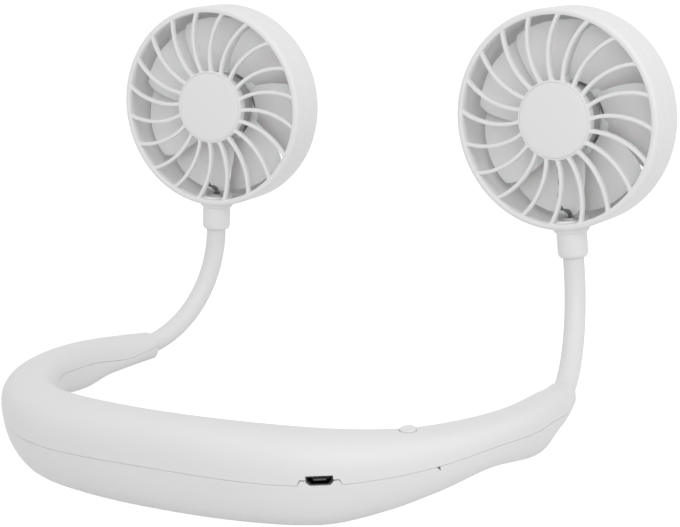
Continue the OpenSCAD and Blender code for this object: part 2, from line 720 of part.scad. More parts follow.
// Collar: clamped in the head's covers by its inner flange, with a flared foot against the drum
collar_chamfer = 1.2;
flare_h = 1.8;
flare_out = 1;
module neck_collar(side) {
    r = collar_d / 2;
    hole = ferrule_d / 2 + run_gap;
    wide = sleeve_d / 2 + hose_gap;
    top = collar_flange_seat - collar_flange_t;
    color("whitesmoke") in_head(side) translate([0, 0, -collar_depth]) rotate([90, 0, 0])
        rotate_extrude() polygon([
            [hole, top], [collar_flange_d / 2, top], [collar_flange_d / 2, collar_flange_seat],
            [r, collar_flange_seat], [r, head_d / 2], [r + flare_out, head_d / 2],
            [r + flare_out, head_d / 2 + flare_h / 3], [r, head_d / 2 + flare_h],
            [r, head_reach - collar_chamfer], [r - collar_chamfer / 2, head_reach],
            [wide, head_reach], [wide, head_reach - sleeve_in_collar],
            [hole, head_reach - sleeve_in_collar]]);
}
module collar_hole() {
    translate([0, 0, -collar_depth]) rotate([90, 0, 0])
        cylinder(r = collar_d / 2 + run_gap, h = head_d);
}

// Front cover: a rolled rim with a skirt, a hub plate and curved ribs
face_w = 2.3;
rim_round = 1.3;
lip_depth = 1.6;
hub_t = 2.4;
cap_t = 1;
rib_set = 0.3;
rib_in_share = 0.96;
rim_r = head_d / 2;
inner_r = rim_r - head_wall;
rib_from_r = hub_d / 2 * rib_in_share;
rib_in = 0.8;
ledge = 0.4;
rib_to_r = rim_r - face_w + rib_in;
function arc_points(cx, cy, r, from_a, to_a, n) =
    [for (k = [0 : n]) let (a = from_a + (to_a - from_a) * k / n) [cx + r * cos(a), cy + r * sin(a)]];

// One rib: an arc from the hub to the rim that bulges against the clock
module rib(from_r, to_r, shift, bow, w, t) {
    a = [from_r, 0];
    b = [to_r * cos(shift), -to_r * sin(shift)];
    d = b - a;
    half = asin(norm(d) / 2 / bow);
    dir = atan2(d[1], d[0]);
    c = (a + b) / 2 + bow * cos(half) * [sin(dir), -cos(dir)];
    translate([c[0], c[1], 0]) rotate([0, 0, dir + 90 - half]) rotate_extrude(angle = 2 * half)
        translate([bow - w / 2, 0]) square([w, t]);
}
module rolled_rim() {
    rotate_extrude() polygon(concat(
        [[rim_r - face_w, 0]], arc_points(rim_r - rim_round, -rim_round, rim_round, 90, 0, 6),
        [[rim_r, -split_depth], [inner_r + head_wall / 2, -split_depth],
         [inner_r + head_wall / 2, lip_depth - split_depth], [inner_r, lip_depth - split_depth],
         [inner_r, -rib_set - rib_t - ledge], [rim_r - face_w, -rib_set - rib_t - ledge]]));
}
// The motor sits in a shallow cup behind the hub plate
cup_wall = 1;
seat_depth = 1.8;
motor_screw_r = 7;
motor_screw_d = 1.7;
motor_screw_head_d = 3;
motor_screw_head_h = 0.9;
module front_grille(side) {
    color("whitesmoke") in_head(side) difference() {
        union() {
            rolled_rim();
            for (k = [0 : rib_count - 1]) rotate([0, 0, 360 * k / rib_count])
                translate([0, 0, -rib_set - rib_t])
                rib(rib_from_r, rib_to_r, rib_shift, rib_bow, rib_w, rib_t);
            translate([0, 0, -hub_t]) cylinder(d = hub_d, h = hub_t);
            translate([0, 0, -hub_t - seat_depth])
                cylinder(r = can_d / 2 + cup_wall, h = seat_depth);
        }
        translate([0, 0, -cap_t]) cylinder(d = cap_d + slip_gap, h = cap_t + overrun);
        translate([0, 0, -hub_t - seat_depth - overrun]) cylinder(r = can_d / 2, h = seat_depth + overrun);
        for (a = [0, 180]) rotate([0, 0, a]) translate([motor_screw_r, 0, -hub_t - overrun])
            cylinder(d = motor_screw_d + slip_gap, h = hub_t + 2 * overrun);
        for (a = [0, 180]) rotate([0, 0, a])
            translate([motor_screw_r, 0, -cap_t - motor_screw_head_h])
            cylinder(d = motor_screw_head_d + slip_gap, h = motor_screw_head_h + overrun);
        collar_hole();
        translate([-wire_way_w / 2, -can_d / 2 - cup_wall - overrun, -hub_t - seat_depth - overrun])
            cube([wire_way_w, 2 * cup_wall + overrun, seat_depth + overrun]);
    }
}
wire_way_w = 3.4;
wire_way_r = 7.6;

// Hub cap: a thin disc with a faint crown
cap_crown = 0.25;
module hub_cap(side) {
    color("gainsboro") in_head(side) rotate_extrude() polygon(concat(
        [[0, -cap_t], [cap_d / 2, -cap_t]],
        [for (k = [5 : -1 : 0]) [cap_d / 2 * k / 5, cap_crown * (1 - k * k / 25)]]));
}

// Rear cover: the drum's back half with a grille of its own
back_face_w = 2.2;
back_rib_t = 1.6;
back_set = 0.2;
back_hub_d = 20;
back_ring_w = 1.6;
back_ring_share = 0.6;
module rear_housing(side) {
    in_round = back_round - head_wall;
    back_hole_r = rim_r - back_round - back_face_w;
    color("whitesmoke") in_head(side) difference() {
        union() {
            rotate_extrude() polygon(concat(
                [[inner_r + head_wall / 2 - slip_gap / 2, -split_depth],
                 [rim_r, -split_depth]],
                arc_points(rim_r - back_round, back_round - head_depth, back_round, 0, -90, 8),
                [[back_hole_r, -head_depth], [back_hole_r, head_wall - head_depth]],
                arc_points(rim_r - back_round, back_round - head_depth, in_round, -90, 0, 8),
                [[inner_r, lip_depth - split_depth - slip_gap],
                 [inner_r + head_wall / 2 - slip_gap / 2, lip_depth - split_depth - slip_gap]]));
            for (k = [0 : rib_count - 1]) rotate([0, 0, 360 * k / rib_count])
                translate([0, 0, back_set - head_depth])
                rib(back_hub_d / 2 * rib_in_share, back_hole_r + rib_in, -rib_shift, rib_bow,
                    rib_w, back_rib_t);
            translate([0, 0, back_set / 2 - head_depth]) cylinder(d = back_hub_d, h = back_rib_t);
            translate([0, 0, 1.5 * back_set - head_depth]) linear_extrude(back_rib_t - back_set)
                ring(back_hole_r * back_ring_share + back_ring_w / 2,
                    back_hole_r * back_ring_share - back_ring_w / 2);
        }
        collar_hole();
    }
}

// Motor: a flat brushed motor, its shaft towards the back
can_wall = 0.5;
neck_d = 6.2;
neck_h = 0.9;
cap_body_t = 1.7;
motor_face = hub_t + slip_gap;
motor_back = motor_face + can_l;
bush_d = 4.4;
bush_l = 1.6;
module motor_can(side) {
    color("slategray") in_head(side) difference() {
        union() {
            translate([0, 0, -motor_back]) cylinder(d = can_d, h = can_l);
            translate([0, 0, -motor_back - neck_h]) cylinder(d = neck_d, h = neck_h);
        }
        translate([0, 0, can_wall - motor_back]) cylinder(d = can_d - 2 * can_wall, h = can_l);
        translate([0, 0, -motor_back - neck_h - overrun])
            cylinder(d = bush_d, h = neck_h + can_wall + 2 * overrun);
        wire_way(motor_lead_depth);
    }
}
// A slot through the wall of the motor for its lead
motor_lead_depth = 2.2;
module wire_way(depth) {
    translate([-wire_way_w / 2, -can_d / 2 - overrun, -motor_face - depth])
        cube([wire_way_w, can_d / 2 - wire_way_r + overrun, depth + overrun]);
}
module motor_end_cap(side) {
    color("black") in_head(side) difference() {
        translate([0, 0, -motor_face - cap_body_t]) cylinder(d = can_d - 2 * can_wall, h = cap_body_t);
        translate([0, 0, -motor_face - cap_body_t - overrun])
            cylinder(d = bush_d, h = bush_l + overrun);
        for (a = [0, 180]) rotate([0, 0, a]) translate([motor_screw_r, 0, -motor_face - cap_body_t - overrun])
            cylinder(d = motor_screw_d, h = cap_body_t + 2 * overrun);
        wire_way(cap_body_t + overrun);
    }
}
module motor_screws(side) {
    color("silver") in_head(side) for (a = [0, 180]) rotate([0, 0, a])
        translate([motor_screw_r, 0, -cap_t - motor_screw_head_h]) {
            cylinder(d = motor_screw_head_d, h = motor_screw_head_h);
            translate([0, 0, -screw_reach]) cylinder(d = motor_screw_d, h = screw_reach);
        }
}
screw_reach = motor_face + cap_body_t - cap_t - motor_screw_head_h;

magnet_t = 2.6;
magnet_l = 5.6;
magnet_span = 130;
magnet_gap = 0.05;
inner_can_r = can_d / 2 - can_wall;
module field_magnets(side) {
    color("dimgray") in_head(side) for (a = [0, 180])
        rotate([0, 0, a - magnet_span / 2]) translate([0, 0, -motor_back + can_wall + magnet_rest])
        rotate_extrude(angle = magnet_span) translate([inner_can_r - magnet_gap - magnet_t, 0])
        square([magnet_t, magnet_l]);
}
magnet_rest = 0.3;

module bushes(side) {
    color("peru") in_head(side) for (z = [-motor_face - cap_body_t, -motor_back - neck_h])
        translate([0, 0, z]) linear_extrude(bush_l) ring(bush_d / 2, shaft_d / 2 + run_gap);
}

// Brushes: two spring leaves that bear on the commutator, with their terminals
leaf_t = 0.3;
leaf_w = 1.2;
leaf_l = 8;
brush_t = 0.6;
commutator_d = 4;
commutator_l = 1.6;
commutator_from = motor_face + cap_body_t + slip_gap;
module brushes(side) {
    out = commutator_d / 2 + slip_gap;
    color("peru") in_head(side) translate([0, 0, -motor_face - cap_body_t]) for (k = [-1, 1]) {
        translate([k > 0 ? out + brush_t : -out - brush_t - leaf_t, -leaf_l / 2, -leaf_w])
            cube([leaf_t, leaf_l, leaf_w]);
        translate([k > 0 ? out : -out - brush_t, -brush_t / 2, -leaf_w]) cube([brush_t, brush_t, leaf_w]);
    }
}

// Turning parts: shaft, armature, commutator and impeller
armature_gap = 0.5;
armature_r = inner_can_r - magnet_gap - magnet_t - armature_gap;
armature_l = 3.4;
coil_over = 0.9;
armature_from = commutator_from + commutator_l + coil_over + slip_gap;
pole_count = 3;
pole_w = 2.6;
shoe_t = 1.3;
shoe_span = 92;
core_hub_r = 2.6;
module shaft(side) {
    color("silver") in_head(side) translate([0, 0, -hub_back_z]) cylinder(d = shaft_d,
        h = hub_back_z - motor_face - slip_gap);
}
module armature_core(side) {
    far = 2 * armature_r;
    color("lightsteelblue") in_head(side) translate([0, 0, -armature_from - armature_l])
        linear_extrude(armature_l) difference() {
            union() {
                circle(r = core_hub_r);
                for (k = [0 : pole_count - 1]) rotate([0, 0, 360 * k / pole_count]) {
                    translate([0, -pole_w / 2]) square([armature_r - shoe_t / 2, pole_w]);
                    intersection() {
                        ring(armature_r, armature_r - shoe_t);
                        polygon([[0, 0], [far * cos(shoe_span / 2), -far * sin(shoe_span / 2)],
                            [far * cos(shoe_span / 2), far * sin(shoe_span / 2)]]);
                    }
                }
            }
            circle(d = shaft_d);
        }
}
// Each winding is a block wrapped round its pole
coil_out = 1.5;
coil_start = 0.5;
coil_from_r = core_hub_r + coil_start;
module armature_coils(side) {
    coil_w = pole_w + 2 * coil_out;
    r_out = sqrt(pow(armature_r - shoe_t, 2) - pow(coil_w / 2, 2)) - slip_gap;
    color("chocolate") in_head(side) translate([0, 0, -armature_from - armature_l])
        for (k = [0 : pole_count - 1]) rotate([0, 0, 360 * k / pole_count]) difference() {
            translate([coil_from_r, -coil_w / 2, -coil_over])
                cube([r_out - coil_from_r, coil_w, armature_l + 2 * coil_over]);
            translate([coil_from_r - overrun, -pole_w / 2, 0])
                cube([r_out - coil_from_r + 2 * overrun, pole_w, armature_l]);
        }
}
module commutator(side) {
    color("peru") in_head(side) translate([0, 0, -commutator_from - commutator_l])
        linear_extrude(commutator_l) ring(commutator_d / 2, shaft_d / 2);
}

// Impeller: a hub behind the motor, and broad twisted blades that reach forward round it
hub_gap = 0.5;
fan_hub_d = 28;
fan_hub_t = 2;
fan_boss_d = 5;
fan_boss_l = 3;
hub_front_z = motor_back + neck_h + hub_gap;
hub_back_z = hub_front_z + fan_boss_l;
blade_stations = 8;
blade_points = 7;
root_chord = 15;
root_pitch = 20;
root_in = 1.2;
blade_root_r = fan_hub_d / 2 - root_in;
blade_d = head_d - 2 * (head_wall + blade_gap);
blade_camber_share = 0.06;
blade_sweep = 10;
tip_round_share = 0.8;
blade_rake = 2;
// Points round a blade's section at a share of its span: along the chord on one face, back on the other
function chord_at(q) =
    (root_chord + (blade_chord - root_chord) * pow(q, 0.8)) * (q < 0.8 ? 1 :
        sqrt(max(0, 1 - pow((q - 0.8) / 0.2, 2) * (1 - tip_round_share * tip_round_share))));
function blade_ring(q) =
    let (r = blade_root_r + (blade_d / 2 - blade_root_r) * q, c = chord_at(q),
         pitch = root_pitch + (blade_pitch - root_pitch) * pow(q, 0.7))
    [for (j = [0 : 2 * blade_points - 1])
        let (top = j < blade_points, i = top ? j : 2 * blade_points - 1 - j,
             x = i / (blade_points - 1) - 0.5,
             bow = 4 * blade_camber_share * c * (0.25 - x * x),
             t = blade_t * (0.35 + 0.65 * (1 - 4 * x * x)) / 2 * (top ? -1 : 1),
             along = x * c, z = bow + t,
             y = along * cos(pitch) - z * sin(pitch),
             dz = along * sin(pitch) + z * cos(pitch) + blade_rake * q,
             a = y / r * 180 / PI - blade_sweep * q)
        [r * cos(a), r * sin(a), dz]];
module blade() {
    swept([for (k = [0 : blade_stations]) blade_ring(k / blade_stations)]);
}
module impeller(side) {
    color("white") in_head(side) difference() {
        union() {
            translate([0, 0, -hub_front_z - fan_hub_t]) cylinder(d = fan_hub_d, h = fan_hub_t);
            translate([0, 0, -hub_back_z]) cylinder(d = fan_boss_d, h = fan_boss_l);
            for (k = [0 : blade_count - 1]) rotate([0, 0, 360 * k / blade_count])
                translate([0, 0, -hub_front_z - fan_hub_t / 2]) blade();
        }
        translate([0, 0, -hub_back_z - overrun]) cylinder(d = shaft_d, h = fan_boss_l + 2 * overrun);
    }
}

// Motor lead: from its plug on the board, along the band beside the screw bosses, through the hose
// and behind the lowest ribs to the motor
lead_shares = [0, 0.35, 0.57, 0.72, 0.86, 1.01];
lead_nape_inset = 5;
lead_side_inset = 4.6;
lead_fore_inset = 3.8;
lead_insets = [lead_nape_inset, lead_side_inset, lead_fore_inset, lead_fore_inset, 0, 0];
lead_zs = [over_cells + lead_d / 2, board_z + board_t + plug[2] / 2];
lead_end_share = 0.935;
lead_bed = 1.6;
lead_end_gap = 0.3;
lead_step = 8;
head_lead_z = 3.4;
function lead_u(t) = -through(paired(lead_shares, lead_insets), t);
function hose_line(s) = s < 0 ? [s, 0, 0] :
    s < hose_arc_l ? let (a = turned(s, 0, hose_r)) [hose_r * sin(a), 0, hose_r * (1 - cos(a))] :
    [hose_r * sin(hose_turn), 0, hose_r * (1 - cos(hose_turn))]
        + (s - hose_arc_l) * [cos(hose_turn), 0, sin(hose_turn)];
lead_steps = 14;
lead_top = ferrule_to + ferrule_flange_t + lead_d / 2;
function arm_lead(side) = [for (k = [0 : lead_steps])
    arm_point(hose_line(-hose_in_tip - lead_bed + (lead_top + hose_in_tip + lead_bed) * k / lead_steps),
        side)];
// Height of the lead: over the cells, level with its plug by the board, then down to the hose
function lead_height(t) = through([[0, lead_zs[0]], [0.3, lead_zs[0]], [0.35, lead_zs[1]],
    [0.57, lead_zs[1]], [lead_end_share, hose_z], [1.01, hose_z]], t);
function band_lead(side) =
    let (from_s = side == right ? plug_right_s + plug[1] / 2 + lead_end_gap
            : plug_left_s - plug[1] / 2 - lead_end_gap,
         to_s = side * half_l * lead_end_share, n = ceil(abs(to_s - from_s) / lead_step))
    [for (k = [0 : n]) let (s = from_s + (to_s - from_s) * k / n, t = share(s))
        on_band(s, k == 0 ? -plug_in : lead_u(t), k == 0 ? lead_zs[1] : lead_height(t))];
function head_lead(side) = [for (p = [
        [0, -collar_flange_seat + 2 * lead_d, -collar_depth + lead_d / 2],
        [-lead_swing, -rim_r * 0.79, -head_lead_z], [-lead_swing / 2, -rim_r * 0.6, -head_lead_z],
        [-lead_swing / 2, -can_d / 2 - cup_wall - lead_d, -head_lead_z],
        [0, -can_d / 2, -hub_t - lead_d / 2 - slip_gap],
        [0, -wire_way_r - slip_gap, -hub_t - lead_d / 2 - slip_gap]])
    head_point(p, side)];
lead_swing = 1.6;
module motor_lead(side) {
    color("dimgray") tube(concat(band_lead(side), arm_lead(side), head_lead(side)), lead_d / 2);
}

upper_shell();
lower_shell();
circuit_board();
board_parts();
charging_socket();
socket_tongue();
cell_left();
cell_right();
cell_leads();
power_switch();
power_button();
shell_screws();
hose_anchor(left);  // hose_anchor_left
hose_anchor(right);  // hose_anchor_right
hose_core(left, -hose_in_tip, bend_places[0] - link_gap);  // hose_base_left
hose_core(right, -hose_in_tip, bend_places[0] - link_gap);  // hose_base_right
hose_link(left, 1);  // hose_link_1_left
hose_link(right, 1);  // hose_link_1_right
hose_link(left, 2);  // hose_link_2_left
hose_link(right, 2);  // hose_link_2_right
hose_link(left, 3);  // hose_link_3_left
hose_link(right, 3);  // hose_link_3_right
hose_top(left);  // hose_top_left
hose_top(right);  // hose_top_right
hose_sleeve(left);  // hose_sleeve_left
hose_sleeve(right);  // hose_sleeve_right
motor_lead(left);  // motor_lead_left
motor_lead(right);  // motor_lead_right
neck_collar(left);  // neck_collar_left
neck_collar(right);  // neck_collar_right
front_grille(left);  // front_grille_left
front_grille(right);  // front_grille_right
hub_cap(left);  // hub_cap_left
hub_cap(right);  // hub_cap_right
rear_housing(left);  // rear_housing_left
rear_housing(right);  // rear_housing_right
motor_screws(left);  // motor_screws_left
motor_screws(right);  // motor_screws_right
motor_can(left);  // motor_can_left
motor_can(right);  // motor_can_right
field_magnets(left);  // field_magnets_left
field_magnets(right);  // field_magnets_right
motor_end_cap(left);  // motor_end_cap_left
motor_end_cap(right);  // motor_end_cap_right
brushes(left);  // brushes_left
brushes(right);  // brushes_right
bushes(left);  // bushes_left
bushes(right);  // bushes_right
shaft(left);  // shaft_left
shaft(right);  // shaft_right
armature_core(left);  // armature_core_left
armature_core(right);  // armature_core_right
armature_coils(left);  // armature_coils_left
armature_coils(right);  // armature_coils_right
commutator(left);  // commutator_left
commutator(right);  // commutator_right
impeller(left);  // impeller_left
impeller(right);  // impeller_right
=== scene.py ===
from math import asin, atan2, ceil, copysign, cos, degrees, pi, radians, sin, sqrt, tau

import bmesh
import bpy
from mathutils import Matrix, Vector


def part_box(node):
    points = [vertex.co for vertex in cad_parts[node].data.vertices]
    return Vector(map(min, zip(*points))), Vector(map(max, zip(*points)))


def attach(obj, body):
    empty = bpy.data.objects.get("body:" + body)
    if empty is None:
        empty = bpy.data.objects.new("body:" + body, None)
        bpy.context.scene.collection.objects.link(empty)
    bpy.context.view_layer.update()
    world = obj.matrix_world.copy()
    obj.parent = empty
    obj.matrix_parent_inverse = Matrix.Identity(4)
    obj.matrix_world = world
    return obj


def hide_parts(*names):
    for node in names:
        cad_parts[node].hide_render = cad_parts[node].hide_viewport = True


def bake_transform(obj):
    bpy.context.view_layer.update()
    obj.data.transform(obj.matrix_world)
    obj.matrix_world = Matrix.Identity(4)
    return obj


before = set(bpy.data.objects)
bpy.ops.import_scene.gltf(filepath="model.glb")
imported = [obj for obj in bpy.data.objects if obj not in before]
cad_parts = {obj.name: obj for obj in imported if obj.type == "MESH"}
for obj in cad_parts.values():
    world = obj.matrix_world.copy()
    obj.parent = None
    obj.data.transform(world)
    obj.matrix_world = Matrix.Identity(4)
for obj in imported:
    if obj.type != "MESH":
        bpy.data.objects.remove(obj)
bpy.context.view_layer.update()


# Camera: a long lens behind the wearer's right shoulder, looking a little down at the back of the
# neckband with both fan heads in view, as the photograph was taken.
def turn(angle, axis):
    """A turn by an angle in degrees."""
    return Matrix.Rotation(radians(angle), 4, axis)


def placed(name, data):
    """An object of that data in the scene."""
    made = bpy.data.objects.new(name, data)
    bpy.context.scene.collection.objects.link(made)
    return made


camera_place = (0.3036, -0.45955, 0.22295)
camera_heading, camera_dip, camera_lean = 31.66, 17.37, -5.35
camera = placed("studio_camera", bpy.data.cameras.new("studio_camera"))
camera.data.lens = 92.14
camera.data.sensor_width = 36
camera.data.sensor_fit = "HORIZONTAL"
camera.data.clip_start = 0.01
camera.matrix_world = (Matrix.Translation(camera_place) @ turn(camera_heading, "Z")
                       @ turn(90 - camera_dip, "X") @ turn(camera_lean, "Z"))
bpy.context.scene.camera = camera
bpy.context.scene.view_settings.view_transform = "Standard"


# Studio: a seamless pale sheet under the band and white all round it, lit by a bright room and two
# broad lamps, the stronger one high on the right.
def add(tree, kind, feeds=None, **settings):
    """A node of that kind, with its settings, and with sockets or plain values fed to its inputs."""
    made = tree.nodes.new("ShaderNode" + kind)
    for key, value in settings.items():
        setattr(made, key, value)
    for key, value in (feeds or {}).items():
        if isinstance(value, bpy.types.NodeSocket):
            tree.links.new(value, made.inputs[key])
        else:
            made.inputs[key].default_value = value
    return made


def maths(tree, operation, *feeds, **settings):
    """What a sum of that kind makes of sockets or numbers."""
    return add(tree, "Math", dict(enumerate(feeds)), operation=operation, **settings).outputs[0]


def lit_or_seen(tree, lit, seen):
    """One shader for light, and another for the camera, also in mirrors and through glass."""
    path = add(tree, "LightPath").outputs
    mirrored = maths(tree, "MAXIMUM", path["Is Camera Ray"], path["Is Glossy Ray"])
    looked_at = maths(tree, "MAXIMUM", mirrored, path["Is Transmission Ray"])
    return add(tree, "MixShader", {0: looked_at, 1: lit.outputs[0], 2: seen.outputs[0]}).outputs[0]


def around(n):
    """The angles of n even places round a circle."""
    return [tau * k / n for k in range(n)]


white = (1, 1, 1, 1)
room = bpy.data.worlds.new("studio_room")
room.use_nodes = True
room.node_tree.nodes.clear()
room_light, room_white = (add(room.node_tree, "Background", {"Color": white, "Strength": power})
                          for power in (0.7, 1.0))
add(room.node_tree, "OutputWorld", {"Surface": lit_or_seen(room.node_tree, room_light, room_white)})
bpy.context.scene.world = room

sheet_paper = bpy.data.materials.new("studio_sheet")
sheet_paper.use_nodes = True
sheet_tree = sheet_paper.node_tree
sheet_tree.nodes.clear()
sheet_fibres = add(sheet_tree, "TexNoise", {"Scale": 40.0, "Detail": 3.0})
sheet_tone = add(sheet_tree, "MapRange", {"Value": sheet_fibres.outputs[0], 3: 0.98, 4: 1.0})
sheet_matt, sheet_faint = (add(sheet_tree, "BsdfDiffuse", {"Color": (grey, grey, grey, 1)})
                           for grey in (0.8, 0.16))
sheet_glow = add(sheet_tree, "Emission", {"Color": white, "Strength": sheet_tone.outputs[0]})
sheet_seen = add(sheet_tree, "AddShader", {0: sheet_faint.outputs[0], 1: sheet_glow.outputs[0]})
add(sheet_tree, "OutputMaterial", {"Surface": lit_or_seen(sheet_tree, sheet_matt, sheet_seen)})
sheet_r, sheet_sides, sheet_z = 1.5, 64, -0.0002
sheet_mesh = bpy.data.meshes.new("studio_sheet")
sheet_mesh.from_pydata([(sheet_r * cos(a), sheet_r * sin(a), sheet_z) for a in around(sheet_sides)],
                       [], [tuple(range(sheet_sides))])
sheet_mesh.materials.append(sheet_paper)
floor_sheet = placed("studio_sheet", sheet_mesh)

lamp_aim = Vector((0, 0, 0.05))
for lamp_name, lamp_place, lamp_size, lamp_power in (("key_lamp", (0.6, -0.65, 0.7), 0.9, 3.2),
                                                     ("fill_lamp", (0.4, 0.1, 0.9), 0.8, 0.9)):
    lamp = placed(lamp_name, bpy.data.lights.new(lamp_name, "AREA"))
    lamp.data.shape = "DISK"
    lamp.data.size = lamp_size
    lamp.data.energy = lamp_power
    lamp.location = lamp_place
    lamp.rotation_euler = (lamp_aim - lamp.location).to_track_quat("-Z", "Y").to_euler()

# Neckband: two white shells moulded in a tough satin plastic, clipped lip in lip along a parting line
# that runs round both sides and steps up over the charging port, and screwed together from below.
# Sizes are in millimetres here and in every section below; solid() makes metres of them.
nape_r, nape_turn, side_r, side_turn, fore_r, fore_turn = 177, 12.5, 64.5, 83, 285, 6.5
band_widths = list(zip((0, 0.25, 0.5, 0.75, 1), (19.4, 22.2, 18.4, 13.2, 9.6)))
band_tops = list(zip((0, 0.25, 0.5, 0.75, 1), (29.4, 28, 23.6, 18.5, 9.7)))
band_unders = list(zip((0, 0.3, 0.42, 0.5, 0.6, 0.79, 0.85, 0.915, 1),
                       (-0.35, -0.35, 2.312, 4.624, 6.8, 0.8, 1.6, 0.8, -0.35)))
tip_clamp = [(0, 0), (0.86, 0), (0.93, 1), (1.01, 1)]
seam_fall = [(0, 0), (0.78, 0), (0.86, 0.5), (0.93, 1), (1.01, 1)]
squareness, tip_squareness, shell_wall, seam_share, hose_hole_r, hose_z = 2.67, 2.2, 1.8, 0.57, 3.75, 5.1
nape_end = nape_r * radians(nape_turn)
side_end = nape_end + side_r * radians(side_turn)
half_l = side_end + fore_r * radians(fore_turn)


def sind(a):
    return sin(radians(a))


def cosd(a):
    return cos(radians(a))


def arc_end(start, r, turned):
    """Where an arc of the band's line ends, and its heading there in degrees."""
    x, y, h = start
    return x + r * (sind(h + turned) - sind(h)), y + r * (cosd(h) - cosd(h + turned)), h + turned


side_start = arc_end((0, 0, 0), nape_r, nape_turn)
fore_start = arc_end(side_start, side_r, side_turn)
tip_x, tip_y, tip_head = arc_end(fore_start, fore_r, fore_turn)
band_arcs = ((0, (0, 0, 0), nape_r), (nape_end, side_start, side_r), (side_end, fore_start, fore_r))
nape_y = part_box("upper_shell")[0].y * 1000 + band_widths[0][1] / 2


def through(p, t):
    """The smooth line through the points p, level where it starts and where it turns."""
    def rise(i):
        return (p[i + 1][1] - p[i][1]) / (p[i + 1][0] - p[i][0])

    def slope(i):
        if i == 0:
            return 0
        if i == len(p) - 1:
            a, b, u, v = rise(i - 1), rise(i - 2), p[i][0] - p[i - 1][0], p[i - 1][0] - p[i - 2][0]
            end = ((2 * u + v) * a - u * b) / (u + v)
            return 0 if end * a <= 0 else end
        a, b = rise(i - 1), rise(i)
        return 0 if a * b <= 0 else 2 * a * b / (a + b)

    i = min(len(p) - 2, max(k for k in range(len(p)) if t >= p[k][0]))
    w = p[i + 1][0] - p[i][0]
    x = (t - p[i][0]) / w
    return ((2 * x ** 3 - 3 * x * x + 1) * p[i][1] + (x ** 3 - 2 * x * x + x) * w * slope(i)
            + (3 * x * x - 2 * x ** 3) * p[i + 1][1] + (x ** 3 - x * x) * w * slope(i + 1))


def on_band(s, u, z):
    """The point at a distance s along the band, u outward of its centreline and z over the table."""
    a, k = min(abs(s), half_l), -1 if s < 0 else 1
    from_s, start, r = [arc for arc in band_arcs if a >= arc[0]][-1]
    x, y, h = arc_end(start, r, degrees((a - from_s) / r))
    return Vector((k * (x + u * sind(h)), nape_y + y - u * cosd(h), z))


def station(s):
    """The frame at a distance s along the band: X outward, Y back along it, Z up."""
    o, x = on_band(s, 0, 0), on_band(s, 1, 0) - on_band(s, 0, 0)
    return Matrix.Translation(o) @ Matrix((x, Vector((0, 0, 1)).cross(x), (0, 0, 1))).transposed().to_4x4()


def band_sizes(s):
    """Half width, seam height, top and underside at a distance s, and how far the hose clamp is reached."""
    t = min(1, abs(s) / half_l)
    c, top, under = through(tip_clamp, t), through(band_tops, t), through(band_unders, t)
    fall = through(seam_fall, t)
    seam = (1 - fall) * (under + seam_share * (top - under)) + fall * hose_z
    return through(band_widths, t) / 2, seam, top, under, c


port_s, port_rise, port_step_w, port_slant = 52, 1.6, 9.8, 0.8


def port_lift(s):
    """How far the parting line is stepped up over the charging port at a distance s."""
    return port_rise * max(0, min(1, ((port_step_w + port_slant) / 2 - abs(s - port_s)) / port_slant + 0.5))


def oval(w, h, n, a, b, steps=22):
    """Points of a squarish half oval from one angle to another, w wide each way and h high."""
    return [(copysign(w * abs(cosd(t)) ** (2 / n), cosd(t)), h * abs(sind(t)) ** (2 / n))
            for t in (a + (b - a) * k / steps for k in range(steps + 1))]


def angle_at(v, h, n):
    """The angle in such an oval at which it is v high."""
    return degrees(asin(min(1, max(0, v) / h) ** (n / 2)))


seam_gap, port_seam, seam_chamfer, seam_land, tip_round = 0.04, 0.2, 0.16, 0.05, 0.6
lip_h, lip_play, lip_side, lip_shelf = 1.0, 0.1, 0.05, 0.15


def shell_ring(s, upper):
    """One section through the upper or the lower shell, outside and inside, as points of the band."""
    w, seam, top, under, c = band_sizes(s)
    edge = tip_round - sqrt(max(0, tip_round ** 2 - max(0, tip_round - half_l + abs(s)) ** 2))
    h = top - seam if upper else seam - under
    n, ni = squareness - c * (squareness - tip_squareness), squareness - c * (squareness - 2)
    wi, hi = ((1 - c) * (size - shell_wall) + c * hose_hole_r for size in (w, h))
    mid, w, h, lift = (w + wi) / 2, w - edge, h - edge, port_lift(s)
    gap, low, cut = seam_gap + port_seam * lift / port_rise, seam_gap + seam_chamfer, seam_chamfer
    if upper:
        out, lip_z = mid + lip_side, lip_h + lip_play
        outside = oval(w, h, n, angle_at(lift + gap + cut, h, n), 180 - angle_at(low, h, n))
        inside = oval(wi, hi, ni, 180 - angle_at(lip_z, hi, ni), angle_at(lip_z + lift, hi, ni))
        pts = [(outside[0][0] - cut, lift + gap), *outside, (cut - w, seam_gap), (-out, seam_gap),
               (-out, lip_z), *inside, (out, lip_z + lift), (out, lift + gap)]
    else:
        out, shelf, a = mid - lip_side, wi - lip_shelf, angle_at(low + seam_land, h, n)
        pts = [(w - cut, lift - gap), (w, lift - gap - cut), *oval(w, -h, n, a, 180 - a), (-w, -low),
               (cut - w, -seam_gap), (-out, -seam_gap), (-out, lip_h), (-shelf, lip_h),
               *oval(wi, -hi, ni, 180, 0), (shelf, lip_h + lift), (out, lip_h + lift), (out, lift - gap)]
    return [on_band(s, x, max(0, seam + z)) for x, z in pts]


def skin(rings, loop=False):
    """Points and faces of a solid whose skin runs from ring to ring, ends closed, or joined in a loop."""
    n, m = len(rings[0]), len(rings)
    faces = [(i * n + k, (i + 1) % m * n + k, (i + 1) % m * n + (k + 1) % n, i * n + (k + 1) % n)
             for i in range(m if loop else m - 1) for k in range(n)]
    if not loop:
        faces += [tuple(range(n)), tuple(m * n - 1 - k for k in range(n))]
    return [Vector(p) for r in rings for p in r], faces


